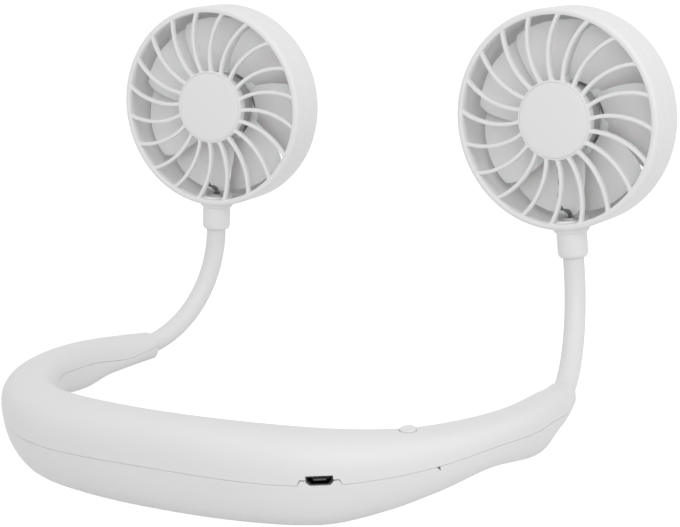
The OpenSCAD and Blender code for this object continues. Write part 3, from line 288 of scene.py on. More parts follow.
def turned_solid(profile, steps=64, place=Matrix()):
    """A solid turned on Z from a closed profile of radius and height."""
    return skin([[place @ Vector((r * cos(a), r * sin(a), z)) for r, z in profile]
                 for a in around(steps)], loop=True)


def rod(line, steps=64, place=Matrix()):
    """A turned solid that is full to its axis."""
    return turned_solid([(0, line[0][1])] + line + [(0, line[-1][1])], steps, place)


def prism(outline, place, low, high):
    """A solid with a flat outline in the frame's XY, from one height to the other."""
    return skin([[place @ Vector((x, y, z)) for x, y in outline] for z in (low, high)])


def tidy(piece, sharp=33):
    """Closes the mesh, turns its faces outward and shades it smooth up to its real edges."""
    b = bmesh.new()
    b.from_mesh(piece.data)
    bmesh.ops.remove_doubles(b, verts=b.verts, dist=1e-6)
    bmesh.ops.dissolve_degenerate(b, edges=b.edges, dist=1e-7)
    bmesh.ops.recalc_face_normals(b, faces=b.faces)
    b.to_mesh(piece.data)
    b.free()
    piece.data.shade_smooth()
    piece.data.set_sharp_from_angle(angle=radians(sharp))


def solid(name, parts, finish=None, sharp=33):
    """An object of one or more solids, each given as points in millimetres and faces."""
    points, faces = [], []
    for part_points, part_faces in parts:
        faces += [tuple(len(points) + i for i in f) for f in part_faces]
        points += [p * 0.001 for p in part_points]
    mesh = bpy.data.meshes.new(name)
    mesh.from_pydata(points, [], faces)
    if finish:
        mesh.materials.append(finish)
    piece = placed(name, mesh)
    tidy(piece, sharp)
    return piece


def machined(piece, joined=(), taken=()):
    """Joins solids to a piece, then cuts solids out of it."""
    for solids, operation in ((joined, "UNION"), (taken, "DIFFERENCE")):
        if solids:
            tool = solid("tool", solids)
            change = piece.modifiers.new(operation, "BOOLEAN")
            change.operation, change.object, change.solver = operation, tool, "EXACT"
            looks = bpy.context.evaluated_depsgraph_get()
            old, piece.data = piece.data, bpy.data.meshes.new_from_object(piece.evaluated_get(looks))
            piece.modifiers.clear()
            piece.data.name = old.name
            bpy.data.meshes.remove(old)
            bpy.data.meshes.remove(tool.data)
    tidy(piece)


def fitted(piece, body, slot, *nodes):
    """The piece moves with a body and stands for CAD nodes, which it hides; slot is not used."""
    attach(piece, body)
    if nodes:
        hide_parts(*nodes)


def effect(name, takes, *gives):
    """An empty effect group, with inputs that have starting values, and with outputs."""
    group = bpy.data.node_groups.new(name, "ShaderNodeTree")
    for label, value in takes.items():
        kind = "Float" if isinstance(value, float) else "Color" if len(value) == 4 else "Vector"
        entry = group.interface.new_socket(label, in_out="INPUT", socket_type="NodeSocket" + kind)
        entry.default_value = value
    for label in gives:
        kind = "Color" if label == "Colour" else "Float"
        group.interface.new_socket(label, in_out="OUTPUT", socket_type="NodeSocket" + kind)
    return group, group.nodes.new("NodeGroupInput").outputs, group.nodes.new("NodeGroupOutput").inputs


def join(tree, inputs, **made):
    """Leads what was made to the inputs of those names."""
    for label, socket in made.items():
        tree.links.new(socket, inputs[label.replace("_", " ")])


def noise(tree, at, scale, detail, twist=0.0):
    """Soft clouds from 0 to 1, or finer grain at a larger scale."""
    return add(tree, "TexNoise", {"Vector": at, "Scale": scale, "Detail": detail,
                                  "Distortion": twist}).outputs[0]


def scaled(tree, vector, share):
    """A colour or a vector times a number."""
    return add(tree, "VectorMath", {0: vector, 3: share}, operation="SCALE").outputs[0]


# the skin that a spark-eroded mould leaves: a fine even grain, a trace of cloudiness, uneven gloss
skin_tree, taken, given = effect(
    "moulded_skin", {"Colour": white, "Cloud": 0.03, "Grain Size": 4500.0, "Gloss": 0.4,
                     "Gloss Spread": 0.08}, "Colour", "Roughness", "Height")
skin_at = add(skin_tree, "TexCoord").outputs["Object"]
skin_cloud = maths(skin_tree, "SUBTRACT", noise(skin_tree, skin_at, 26.0, 3.0), 0.5)
skin_tone = maths(skin_tree, "MULTIPLY_ADD", skin_cloud, taken["Cloud"], 1.0)
skin_smear = maths(skin_tree, "SUBTRACT", noise(skin_tree, skin_at, 140.0, 4.0, 0.6), 0.5)
skin_rough = maths(skin_tree, "MULTIPLY_ADD", skin_smear, taken["Gloss Spread"], taken["Gloss"])
join(skin_tree, given, Colour=scaled(skin_tree, taken["Colour"], skin_tone), Roughness=skin_rough,
     Height=noise(skin_tree, skin_at, taken["Grain Size"], 2.0))

# hands and table tops polish the corners of a case and leave them a trace lighter or barer
edge_tree, taken, given = effect("rubbed_edges", {
    "Colour": white, "Rubbed Colour": white, "Amount": 0.4}, "Colour")
edge_bend = add(edge_tree, "NewGeometry").outputs["Pointiness"]
edge_found = add(edge_tree, "MapRange", {"Value": edge_bend, 1: 0.53, 2: 0.62}).outputs[0]
edge_noise = noise(edge_tree, add(edge_tree, "TexCoord").outputs["Object"], 420.0, 4.0)
edge_broken = maths(edge_tree, "MULTIPLY", edge_found, edge_noise)
edge_mask = maths(edge_tree, "MULTIPLY", edge_broken, taken["Amount"], use_clamp=True)
edge_mix = add(edge_tree, "Mix", {0: edge_mask, 6: taken["Colour"], 7: taken["Rubbed Colour"]},
               data_type="RGBA")
join(edge_tree, given, Colour=edge_mix.outputs[2])


def empty_finish(name, constants):
    """A material with a bare Principled shader, whose constants stand on its own sockets."""
    material = bpy.data.materials.new(name)
    material.use_nodes = True
    shader = material.node_tree.nodes["Principled BSDF"]
    for label, value in constants.items():
        shader.inputs[label.replace("_", " ")].default_value = value
    return material, material.node_tree, shader


def worn(name, group, feeds, rubbed, rub, depth, constants):
    """A material whose colour, gloss and relief come from an effect, and whose corners are rubbed."""
    material, tree, shader = empty_finish(name, constants)
    surface = add(tree, "Group", feeds, node_tree=group).outputs
    corners = add(tree, "Group", {"Colour": surface["Colour"], "Rubbed Colour": (*rubbed, 1), "Amount": rub},
                  node_tree=edge_tree)
    relief = add(tree, "Bump", {"Distance": depth, "Height": surface["Height"]})
    join(tree, shader.inputs, Base_Color=corners.outputs["Colour"], Roughness=surface["Roughness"],
         Normal=relief.outputs[0])
    return material


def moulded(name, colour, gloss, cloud=0.03, grain=4500.0, depth=0.00002, spread=0.08, rub=0.3,
            bright=1.06, **constants):
    """A moulded plastic or rubber: grain in its skin, a little cloud, and rubbed corners."""
    feeds = {"Colour": (*colour, 1), "Cloud": cloud, "Grain Size": grain, "Gloss": gloss,
             "Gloss Spread": spread}
    return worn(name, skin_tree, feeds, (min(1, c * bright) for c in colour), rub, depth, constants)


band_white = moulded("band_plastic", (0.78, 0.78, 0.78), 0.48, cloud=0.035, IOR=1.5)
screw_places = (0, 94, -94, 116, -116)
screw_seat, screw_r, screw_l, screw_head_r, screw_play = 4.5, 1.0, 9, 1.9, 0.15
boss_r, lower_boss_r, boss_sides = 2.5, 2.65, 32
shell_steps = 150
band_stations = [half_l * k / shell_steps for k in range(1 - shell_steps, shell_steps)]
band_stations += [port_s + k * (port_step_w / 2 + o) for k in (-1, 1) for o in (port_slant, 0.4, 0, -0.4)]
band_stations += [k * (half_l - d) for k in (-1, 1) for d in (0.45, 0.3, 0.15, 0.05, 0)]
band_stations.sort()

port_w, port_h, port_taper, port_gap, port_funnel = 3.75, 1.25, 1.0, 0.25, 0.3
port_z = band_sizes(port_s)[1] + port_rise
port_u = band_sizes(port_s)[0]


def port_outline(grow, corner=0.3, steps=3):
    """The socket's outline, wide at the top and narrow below, with its folded corners rounded."""
    w, h, t = port_w + grow, port_h + grow, port_taper
    corners = [(-w, h), (w, h), (w, t - h), (w - t, -h), (t - w, -h), (-w, t - h)]
    out = []
    for i, p in enumerate(corners):
        a, b = Vector(corners[i - 1]), Vector(corners[(i + 1) % 6])
        p = Vector(p)
        a, b = p + (a - p).normalized() * corner, p + (b - p).normalized() * corner
        for k in range(steps + 1):
            f = k / steps
            out.append(tuple(a * (1 - f) ** 2 + p * 2 * f * (1 - f) + b * f * f))
    return out


def outward(s, z):
    """The frame at a height on the band that looks outward: X along the band, Y up, Z outward."""
    return station(s) @ Matrix(((0, 0, 1, 0), (1, 0, 0, 0), (0, 1, 0, z), (0, 0, 0, 1)))


port_frame = outward(port_s, port_z)


def port_tube(*rings):
    """A solid along the port, from its depths and how far its outline grows at each."""
    return skin([[port_frame @ Vector((x, y, z)) for x, y in port_outline(g)] for z, g in rings])


port_cutter = port_tube((port_u - 2 * shell_wall, port_gap), (port_u - 0.28, port_gap),
                        (port_u + 0.02, port_gap + port_funnel), (port_u + 2, port_gap + port_funnel))

button_s, button_in, button_r, button_play, button_dish = 78.2, 1.8, 2.45, 0.15, 0.45
button_top = band_sizes(button_s)[2]
button_frame = station(button_s) @ Matrix.Translation((-button_in, 0, 0))
upper_shell = solid("upper_case", [skin([shell_ring(s, True) for s in band_stations])], band_white)
bosses, holes = [], []
for s in screw_places:
    seam, top = band_sizes(s)[1:3]
    bore_z = seam + screw_l - screw_seat
    bosses.append(rod([(boss_r, seam + 0.1), (boss_r, top - shell_wall / 2)], boss_sides, station(s)))
    holes.append(turned_solid([(0, seam - 1), (screw_r, seam - 1), (screw_r, bore_z), (0, bore_z + 0.5)],
                              boss_sides, station(s)))
holes.append(rod([(button_r + button_play, button_top - 4), (button_r + button_play, button_top - 0.3),
                  (button_r + button_dish, button_top + 0.05), (button_r + button_dish, button_top + 2)],
                 48, button_frame))
machined(upper_shell, bosses, holes + [port_cutter])
fitted(upper_shell, "neckband", "band_plastic", "upper_shell")

lower_shell = solid("lower_case", [skin([shell_ring(s, False) for s in band_stations])], band_white)
board_z = port_z - port_h - 0.8
bosses, holes = [], [port_cutter]
for s in screw_places:
    seam, floor_z = band_sizes(s)[1], max(0, band_sizes(s)[3]) + shell_wall / 2
    bosses.append(rod([(lower_boss_r, floor_z), (lower_boss_r, seam)], boss_sides, station(s)))
    holes.append(rod([(screw_head_r + 0.1, -1), (screw_head_r + 0.1, seam - screw_seat),
                      (screw_r + screw_play, seam - screw_seat), (screw_r + screw_play, seam + screw_seat)],
                     boss_sides, station(s)))
for s, u in ((port_s + 9, 2.5), (button_s + 6.5, 3)):
    floor_z = max(0, band_sizes(s)[3]) + shell_wall / 2
    bosses.append(rod([(1.9, floor_z), (1.9, board_z), (1.1, board_z), (1.1, board_z + 1.2),
                       (0.9, board_z + 1.4)], 24, station(s) @ Matrix.Translation((u, 0, 0))))
# the pry notch is a small sunk wedge under the seam
notch_s, notch_w = 82.4, 1.3
notch_u, notch_z = band_sizes(notch_s)[:2]
holes.append(prism([(-notch_w / 2, 0.1), (notch_w / 2, 0.1), (notch_w / 2, -notch_w)],
                   outward(notch_s, notch_z), notch_u - 0.8 * shell_wall, notch_u + 1))
machined(lower_shell, bosses, holes)
fitted(lower_shell, "neckband", "band_plastic", "lower_shell")

# Power button: a small glossy moulded disc with a rounded crown in the top of the right side, on a
# flange that keeps it under the roof and a stem that presses the switch.
button_white = moulded("button_plastic", (0.77, 0.77, 0.775), 0.25, cloud=0.02, depth=0.00001)
flange_top = button_top - 3.3
crown = [(button_r - 0.4 + 0.4 * sind(90 - a), button_top + 0.2 + 0.4 * sind(a)) for a in range(0, 91, 15)]
dish = [(r, button_top + 0.6 - 0.1 * (1 - (r / 1.8) ** 2)) for r in (1.8, 1.2, 0.6, 0)]
power_button = solid("power_key", [turned_solid(
    [(0, flange_top - 1.6), (0.8, flange_top - 1.6), (0.9, flange_top - 1.5), (0.9, flange_top - 0.6),
     (3.3, flange_top - 0.6), (3.3, flange_top), (button_r, flange_top)] + crown + dish, 64,
    button_frame)], button_white)
fitted(power_button, "button", "button_plastic", "power_button")

# Charging socket: a folded steel shell with rounded corners and a rolled front lip, its near-black
# colour painted shade for the dark opening, round a grey tongue with five flat contacts, soldered to the
# board's ear.
metal_tree, taken, given = effect(
    "rolled_metal", {"Colour": white, "Axis": (0.0, 0.0, 1.0), "Along": 60.0, "Across": 2600.0,
                     "Contrast": 0.12, "Gloss": 0.3}, "Colour", "Roughness", "Height")
metal_at = add(metal_tree, "TexCoord").outputs["Object"]
metal_reach = add(metal_tree, "VectorMath", {0: metal_at, 1: taken["Axis"]}, operation="DOT_PRODUCT")
metal_squeeze = maths(metal_tree, "SUBTRACT", taken["Along"], taken["Across"])
metal_pull = maths(metal_tree, "MULTIPLY", metal_reach.outputs["Value"], metal_squeeze)
metal_place = add(metal_tree, "VectorMath", {0: scaled(metal_tree, metal_at, taken["Across"]),
                                             1: scaled(metal_tree, taken["Axis"], metal_pull)},
                  operation="ADD")
metal_lines = noise(metal_tree, metal_place.outputs[0], 1.0, 3.0)
metal_shift = maths(metal_tree, "SUBTRACT", metal_lines, 0.5)
metal_tone = maths(metal_tree, "MULTIPLY_ADD", metal_shift, taken["Contrast"], 1.0)
gloss_swing = 0.22
metal_rough = maths(metal_tree, "MULTIPLY_ADD", metal_shift, gloss_swing, taken["Gloss"], use_clamp=True)
join(metal_tree, given, Colour=scaled(metal_tree, taken["Colour"], metal_tone), Roughness=metal_rough,
     Height=metal_lines)


def metal(name, colour, gloss, axis=(0, 0, 1), along=60.0, across=2600.0, contrast=0.12, depth=0.000006,
          rub=0.35, **constants):
    """A metal whose rolling, drawing or turning marks run in lines, with its edges rubbed brighter."""
    feeds = {"Colour": (*colour, 1), "Axis": axis, "Along": along, "Across": across, "Contrast": contrast,
             "Gloss": gloss}
    return worn(name, metal_tree, feeds, (min(1, c * 1.5 + 0.05) for c in colour), rub, depth,
                {"Metallic": 1.0, **constants})


def pointing(place, axis=(0, 0, 1)):
    """A direction in a frame, as the room has it."""
    return tuple((place.to_3x3() @ Vector(axis)).normalized())


# the shell's near-black colour is painted shade: it stands in for the shadow inside the port's opening
socket_shade_black = metal("socket_steel", (0.07, 0.07, 0.072), 0.3, axis=pointing(port_frame), along=80.0)
mouth, socket_depth, socket_metal, socket_lip = port_u - 0.5, 5.6, 0.25, 0.06
charging_socket = solid("socket_shell", [port_tube(
    (mouth - socket_depth, 0), (mouth - 0.1, 0), (mouth, -socket_lip), (mouth, socket_lip - socket_metal),
    (mouth - 0.1, -socket_metal), (mouth - socket_depth + socket_metal, -socket_metal))], socket_shade_black)
fitted(charging_socket, "neckband", "socket_steel", "charging_socket")

black_plastic = moulded("component_black", (0.018, 0.018, 0.019), 0.45, cloud=0.2, rub=0.15, bright=2.5)
contact_nickel = metal("contact_nickel", (0.3, 0.29, 0.27), 0.3, axis=pointing(port_frame), contrast=0.08)


def block(place, w, d, low, high, bevel=0.08):
    """A moulded block with its corners and top edges broken."""
    rings = []
    for z, g in ((low, 0), (high - bevel, 0), (high, bevel)):
        x, y, c = w / 2 - g, d / 2 - g, bevel
        rings.append([place @ Vector((px, py, z)) for px, py in (
            (-x, -y + c), (-x + c, -y), (x - c, -y), (x, -y + c), (x, y - c), (x - c, y), (-x + c, y),
            (-x, y - c))])
    return skin(rings)


tongue_grey = moulded("tongue_grey", (0.09, 0.09, 0.09), 0.45, cloud=0.15, rub=0.15, bright=1.5)
socket_tongue = solid("socket_tongue_moulding", [
    block(port_frame, 5, 1.8, mouth - 5.35, mouth - 2.8),
    block(port_frame, 3.75, 0.6, mouth - 2.9, mouth - 0.7)], tongue_grey)
fitted(socket_tongue, "neckband", "component_black", "socket_tongue")
contact_pitch, contact_w, contact_t = 0.65, 0.3, 0.1
contact_strips = solid("socket_contacts", [block(
    port_frame @ Matrix.Translation((contact_pitch * k, -0.32, 0)), contact_w, contact_t, mouth - 2.85,
    mouth - 0.85, 0.02) for k in range(-2, 3)], contact_nickel)
fitted(contact_strips, "neckband", "socket_steel")


# Circuit board: green solder-masked laminate on two posts, with tracks that show faintly through the
# mask, and the parts soldered to it; nothing of it shows while the shells are closed.
def refinish(material, *nodes):
    """Gives CAD nodes that keep their shape another material."""
    for node in nodes:
        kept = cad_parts[node]
        if not kept.data.materials:
            kept.data.materials.append(material)
        for slot in kept.material_slots:
            slot.material = material


board_green, board_tree, board_shader = empty_finish("board_laminate", {"Coat_Weight": 0.4})
board_tracks = add(board_tree, "TexBrick", {
    "Vector": add(board_tree, "TexCoord").outputs["Object"], "Scale": 260.0, "Mortar Size": 0.08,
    "Color1": (0.02, 0.16, 0.07, 1), "Color2": (0.025, 0.19, 0.085, 1), "Mortar": (0.05, 0.28, 0.12, 1)},
    offset=0.35).outputs
board_mask = add(board_tree, "Group", {"Colour": board_tracks[0]}, node_tree=skin_tree).outputs
board_relief = add(board_tree, "Bump", {"Distance": 0.00003, "Height": board_tracks[1]})
join(board_tree, board_shader.inputs, Base_Color=board_mask["Colour"], Roughness=board_mask["Roughness"],
     Normal=board_relief.outputs[0])
refinish(board_green, "circuit_board")
refinish(black_plastic, "board_parts", "power_switch")

# Cells: two steel cans in blue shrink film, whose faint wrinkles run round the ends, end to end in
# the nape; a red and a black lead go over them to the board.
film_blue = moulded("cell_wrap", (0.035, 0.13, 0.28), 0.28, cloud=0.15, grain=700.0, depth=0.00006,
                    Coat_Weight=0.5)
refinish(film_blue, "cell_left", "cell_right")


def smooth_route(points, step=1.2):
    """A route through the points, rounded at each and evenly close."""
    p = [2 * points[0] - points[1]] + list(points) + [2 * points[-1] - points[-2]]
    out = []
    for i in range(1, len(p) - 2):
        n = max(1, round((p[i + 1] - p[i]).length / step))
        for t in (k / n for k in range(n)):
            out.append(0.5 * (2 * p[i] + (p[i + 1] - p[i - 1]) * t
                              + (2 * p[i - 1] - 5 * p[i] + 4 * p[i + 1] - p[i + 2]) * t * t
                              + (3 * p[i] - p[i - 1] - 3 * p[i + 1] + p[i + 2]) * t ** 3))
    return out + [points[-1]]


def cores(route, radius, off=0.0, pitch=14.0, count=1, sides=10):
    """One round core along a route, or several laid round each other, each a closed tube."""
    ahead = [(route[min(i + 1, len(route) - 1)] - route[max(i - 1, 0)]).normalized()
             for i in range(len(route))]
    across, way, tubes = Vector((0.1, 0.2, 1)), 0.0, [[] for _ in range(count)]
    for i, p in enumerate(route):
        across = (across - across.dot(ahead[i]) * ahead[i]).normalized()
        up = ahead[i].cross(across)
        way += (p - route[i - 1]).length if i else 0
        for k in range(count):
            a = tau * (way / pitch + k / count)
            mid = p + off * (across * cos(a) + up * sin(a))
            tubes[k].append([mid + radius * (across * cos(b) + up * sin(b))
                             for b in around(sides)])
    return [skin(rings) for rings in tubes]


cell_d, cell_gap, cells_s, cell_lead_r = 14.2, 0.3, 3.4, 0.6
board_t, plug_h, plug_s = 0.8, 1.3, port_s - 4.9
cell_top, plug_z = shell_wall + cell_d + cell_gap + 0.7, board_z + board_t + plug_h
for lead_name, k, lead_colour in (("cell_lead_red", -1, (0.36, 0.012, 0.01)),
                                  ("cell_lead_black", 1, (0.015, 0.015, 0.016))):
    lead_route = [on_band(s, 1 + 0.7 * k, z) for s, z in (
        (cells_s + 20.5, cell_top), (cells_s + 28, cell_top), (cells_s + 36, cell_top - 1),
        (port_s - 9, plug_z + 0.8), (port_s - 6.7, plug_z), (plug_s, plug_z))]
    cell_lead = solid(lead_name, cores(smooth_route(lead_route), cell_lead_r),
                      moulded(lead_name, lead_colour, 0.5, cloud=0.1))
    fitted(cell_lead, "neckband", "cell_lead_jacket", *(["cell_leads"] if k < 0 else []))

# Shell screws: five plated self-tapping screws with cross slots, headed cold and with rolled threads,
# driven up through the lower shell's bosses into those of the upper one.
screw_plate = metal("screw_steel", (0.5, 0.5, 0.52), 0.28, along=2200.0, across=90.0)
refinish(screw_plate, "shell_screws")

# Hoses: each is a bendable hose of wound steel strip, clamped in the band's tip by a brass anchor and
# slid into a smooth white silicone sleeve that runs from the tip into the head's collar. The sleeve
# is made in four lengths that meet between the bend places.
hose_r, hose_turn, hose_up, hose_lean = 38.7, 82, 2, 2.8
bend_places = (7, 20.5, 34, 47.5)
hose_arc = hose_r * radians(hose_turn)
hose_l = hose_arc + hose_up
right_arm = Matrix.Translation((tip_x, nape_y + tip_y, hose_z)) @ turn(tip_head, "Z") @ turn(-hose_lean, "X")
mirror = Matrix.Diagonal((-1, 1, 1, 1))
arms = {"left": mirror @ right_arm, "right": right_arm}


def along_hose(s, out=0.0, angle=0.0):
    """A point at a distance s along the hose, out from its line at an angle round it."""
    a = max(0, min(s, hose_arc)) / hose_r
    p = Vector((hose_r * sin(a), 0, hose_r * (1 - cos(a))))
    ahead = Vector((cos(a), 0, sin(a)))
    p += ahead * (s - a * hose_r)
    return p + out * (Vector((-ahead.z, 0, ahead.x)) * cos(angle) + Vector((0, 1, 0)) * sin(angle))


def bent(piece, node, side, i):
    """The length i of a sleeve or lead round a hose: hides the CAD node it stands for and bakes its place
    into its mesh.
    """
    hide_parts(f"{node}_{side}")
    arms[side] @ along_hose(bend_places[i] - bend_reach) * 0.001
    arms[side] @ along_hose(bend_places[i] + bend_reach) * 0.001
    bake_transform(piece)


silicone = moulded("sleeve_silicone", (0.78, 0.78, 0.78), 0.5, cloud=0.03, grain=2500.0, spread=0.12,
                   rub=0.1, Sheen_Weight=0.15, Sheen_Roughness=0.4)
sleeve_r, sleeve_bore, sleeve_from, sleeve_to, sleeve_sides = 3.6, 2.35, -4.6, hose_l + 1.7, 40
hose_cuts = [sleeve_from] + [(a + b) / 2 for a, b in zip(bend_places, bend_places[1:])] + [sleeve_to]
bend_reach, ring_gap = 6.5, 0.75
for side, arm in arms.items():
    wind = pointing(arm, (0.6, 0, 0.8))
    refinish(metal("hose_steel_" + side, (0.45, 0.45, 0.46), 0.32, axis=wind, along=900.0, across=120.0,
                   contrast=0.3, depth=0.0001),
             *(f"hose_{n}_{side}" for n in ("base", "link_1", "link_2", "link_3", "top")))
    refinish(metal("anchor_brass_" + side, (0.62, 0.4, 0.13), 0.3, axis=wind, along=1800.0, across=60.0),
             "hose_anchor_" + side)
    for i in range(4):
        a, b = hose_cuts[i], hose_cuts[i + 1]
        n = round((b - a) / ring_gap)
        places = [a + (b - a) * k / n for k in range(n + 1)]
        sleeve = solid(f"sleeve_{i + 1}_{side}", [skin(
            [[arm @ along_hose(s, sleeve_r, phi) for s in places]
             + [arm @ along_hose(s, sleeve_bore, phi) for s in reversed(places)]
             for phi in around(sleeve_sides)], loop=True)], silicone)
        bent(sleeve, "hose_sleeve", side, i)

# Fan heads: each turns on a white collar that is clamped between the head's two covers and takes the
# hose's ferrule, with a flared foot against the drum and a chamfered end over the sleeve.
head_r, head_depth, head_wall, collar_depth, collar_l, head_turn = 37.5, 20, 1.6, 7.6, 10, 15.2
right_head = (right_arm @ Matrix.Translation(along_hose(hose_arc)) @ turn(90 - hose_turn, "Y")
              @ Matrix.Translation((0, 0, hose_up)) @ turn(-90 - head_turn, "Z")
              @ Matrix.Translation((0, -collar_depth, collar_l + head_r)) @ turn(90, "X"))
heads = {"left": mirror @ right_head @ mirror, "right": right_head}


def on_both_heads(made, body, slot, *nodes):
    """Sets a piece that is made in a head's own frame on both heads."""
    for side, head in heads.items():
        place = head.copy()
        place.translation *= 0.001
        piece = placed(f"{made.name}_{side}", made.data.copy())
        piece.data.transform(place)
        fitted(piece, f"{body}_{side}", slot, *(f"{n}_{side}" for n in nodes))
    bpy.data.objects.remove(made)


head_white = moulded("head_plastic", (0.83, 0.83, 0.83), 0.46, cloud=0.025, IOR=1.5)
collar_axis = Matrix.Translation((0, 0, -collar_depth)) @ turn(90, "X")
collar_r, foot_r, ferrule_r, cuff_r = 5.2, 6.2, 3.04, 3.75
neck_collar = solid("collar", [turned_solid(
    [(ferrule_r, 34.5), (foot_r, 34.5), (foot_r, 35.3), (collar_r, 35.3), (collar_r, 37.3),
     (foot_r, 37.4), (foot_r, 38.0), (5.95, 38.5), (5.5, 38.95), (collar_r, 39.3),
     (collar_r, 46.3), (5.05, 46.7), (4.6, 47.4), (4.4, 47.5), (cuff_r + 0.1, 47.5),
     (cuff_r, 47.4), (cuff_r, 45.5), (ferrule_r, 45.5)], 72, collar_axis)], head_white)
on_both_heads(neck_collar, "head", "head_plastic", "neck_collar")

# Front cover: one white moulding, a rolled rim and a short skirt round twenty curved ribs that run
# to the hub plate, which holds the motor in a shallow cup behind it.
rib_count, rib_w, rib_t, rib_bow, rib_shift, rib_steps = 20, 1.35, 1.8, 27.5, 7.2, 18
rib_edge, rib_foot, rib_spread, spread_l = 0.42, 0.15, 0.55, 1.8
face_w, rim_round, split_depth, hub_r, cap_r, can_r = 2.3, 1.3, 8, 13.5, 12.8, 12.2
skirt_r, skirt_z, seat_z, hub_back, split_edge, split_gap = 36.7, -6.4, -1, -2.4, 0.12, 0.02


def rib(from_r, to_r, front, thick, place):
    """One rib, bowed against the clock, its front edges rounded and its ends spread into the plastic."""
    a, b = Vector((from_r, 0)), Vector((to_r * cosd(rib_shift), -to_r * sind(rib_shift)))
    half = asin((b - a).length / 2 / rib_bow)
    aim = atan2((b - a).y, (b - a).x)
    mid = (a + b) / 2 + rib_bow * cos(half) * Vector((sin(aim), -cos(aim)))
    rings, c, o = [], rib_edge, rib_foot
    for k in range(rib_steps + 1):
        f = 1 - 2 * k / rib_steps
        phi = aim + pi / 2 + half * f
        near = (1 - abs(f)) * half * rib_bow
        w = rib_w / 2 * (1 + rib_spread * max(0, 1 - near / spread_l) ** 2)
        section = [(-w, o), (-w, thick - c), (-w + c * 0.3, thick - c * 0.3), (-w + c, thick),
                   (w - c, thick), (w - c * 0.3, thick - c * 0.3), (w, thick - c), (w, o), (w - o, 0),
                   (-w + o, 0)]
        rings.append([place @ Vector((mid.x + (rib_bow + x) * cos(phi),
                                      mid.y + (rib_bow + x) * sin(phi), front - thick + z))
                      for x, z in section])
    return skin(rings)


slot_w = 1.7


def wire_slot(near, far, low, high):
    """A slot for the motor lead, between two places below the head's middle."""
    return prism([(-slot_w, near), (slot_w, near), (slot_w, far), (-slot_w, far)], Matrix(), low, high)


face_r = head_r - face_w
rim_line = [(face_r, -2.5), (face_r, -0.7), (face_r + 0.2, -0.2), (face_r + 0.7, 0)]
rim_line += [(head_r - rim_round + rim_round * sind(a), -rim_round + rim_round * cosd(a))
             for a in range(0, 91, 9)]
rim_line += [(head_r, split_gap + split_edge - split_depth), (head_r - split_edge, split_gap - split_depth),
             (skirt_r, split_gap - split_depth), (skirt_r, skirt_z), (head_r - head_wall, skirt_z),
             (head_r - head_wall, -2.5)]
hub_line = [(cap_r + 0.05, seat_z), (cap_r + 0.05, -0.12), (cap_r + 0.17, 0), (hub_r - 0.4, 0),
            (hub_r - 0.12, -0.12), (hub_r, -0.4), (hub_r, hub_back), (can_r + 1, hub_back),
            (can_r + 1, -4.1), (can_r + 0.9, -4.2), (can_r, -4.2), (can_r, hub_back)]
collar_bore = rod([(collar_r + 0.04, 30), (collar_r + 0.04, 40)], 48, collar_axis)
front_cover = solid("front_rim", [turned_solid(rim_line, 144)], head_white)
machined(front_cover, taken=[collar_bore])
hub_plate = solid("hub_plate", [rod(hub_line, 96)], head_white)
machined(hub_plate, taken=[rod([(0.9, -3), (0.9, -1.9), (1.55, -1.9), (1.55, 0)], 24,
                               Matrix.Translation((x, 0, 0))) for x in (-7, 7)]
         + [wire_slot(-14.2, -11.2, -5, hub_back - 0.05)])
ribs = solid("front_ribs", [rib(hub_r * 0.96, face_r + 0.8, -0.3, rib_t, turn(360 * k / rib_count, "Z"))
                            for k in range(rib_count)], head_white, 40)
for piece in (front_cover, hub_plate, ribs):
    on_both_heads(piece, "head", "head_plastic", "front_grille")

# Hub cap: a thin satin disc, moulded with a faint crown and a broken edge, and glued into the hub
# plate, where it hides the motor screws.
cap_satin = moulded("cap_plastic", (0.83, 0.83, 0.83), 0.48, cloud=0.02, grain=6000.0)
cap_crown = 0.25
hub_cap = solid("cap_disc", [turned_solid(
    [(0, seat_z), (cap_r, seat_z), (cap_r, -0.15), (cap_r - 0.05, -0.04), (cap_r - 0.2, 0.01)]
    + [(cap_r * k / 8, cap_crown * (1 - (k / 8) ** 2)) for k in range(7, -1, -1)], 96)], cap_satin)
on_both_heads(hub_cap, "head", "cap_plastic", "hub_cap")

# Rear cover: the deep back half of the drum, slid over the front cover's skirt, with a rounded edge
# and a grille of its own, whose ribs bow the other way.
back_round, back_face_w, back_t, back_set, skirt_play = 5, 2.2, 1.6, 0.2, 0.05
hole_r, round_r, inner_round = head_r - back_round - back_face_w, head_r - back_round, back_round - head_wall
split_z = -split_depth - split_gap
back_line = [(skirt_r - skirt_play, split_z), (head_r - split_edge, split_z), (head_r, split_z - split_edge)]
back_line += [(round_r + back_round * cosd(a), back_round * (1 - sind(a)) - head_depth)
              for a in range(0, 91, 6)]
back_line += [(hole_r + 0.3, -head_depth), (hole_r, 0.3 - head_depth), (hole_r, head_wall - head_depth)]
back_line += [(round_r + inner_round * cosd(a), back_round - inner_round * sind(a) - head_depth)
              for a in range(90, -1, -9)]
back_line += [(head_r - head_wall, -6.5), (skirt_r - skirt_play, -6.5)]
back_shell = solid("rear_drum", [turned_solid(back_line, 144)], head_white)
machined(back_shell, taken=[collar_bore])
back_z, back_front_z, mid_r = -19.9, -18.3, hole_r * 0.6
back_hub = rod([(9.7, back_z), (10, back_z + 0.3), (10, back_front_z)])
mid_ring = turned_solid([(mid_r + x, z) for x, z in (
    (-0.8, -19.6), (-0.7, -19.7), (0.7, -19.7), (0.8, -19.6), (0.8, back_front_z),
    (-0.8, back_front_z))], 96)
back_ribs = solid("rear_grille", [back_hub, mid_ring] + [
    rib(9.6, hole_r + 0.8, head_depth - back_set, back_t, turn(180, "X") @ turn(360 * k / rib_count, "Z"))
    for k in range(rib_count)], head_white, 40)
for piece in (back_shell, back_ribs):
    on_both_heads(piece, "head", "head_plastic", "rear_housing")

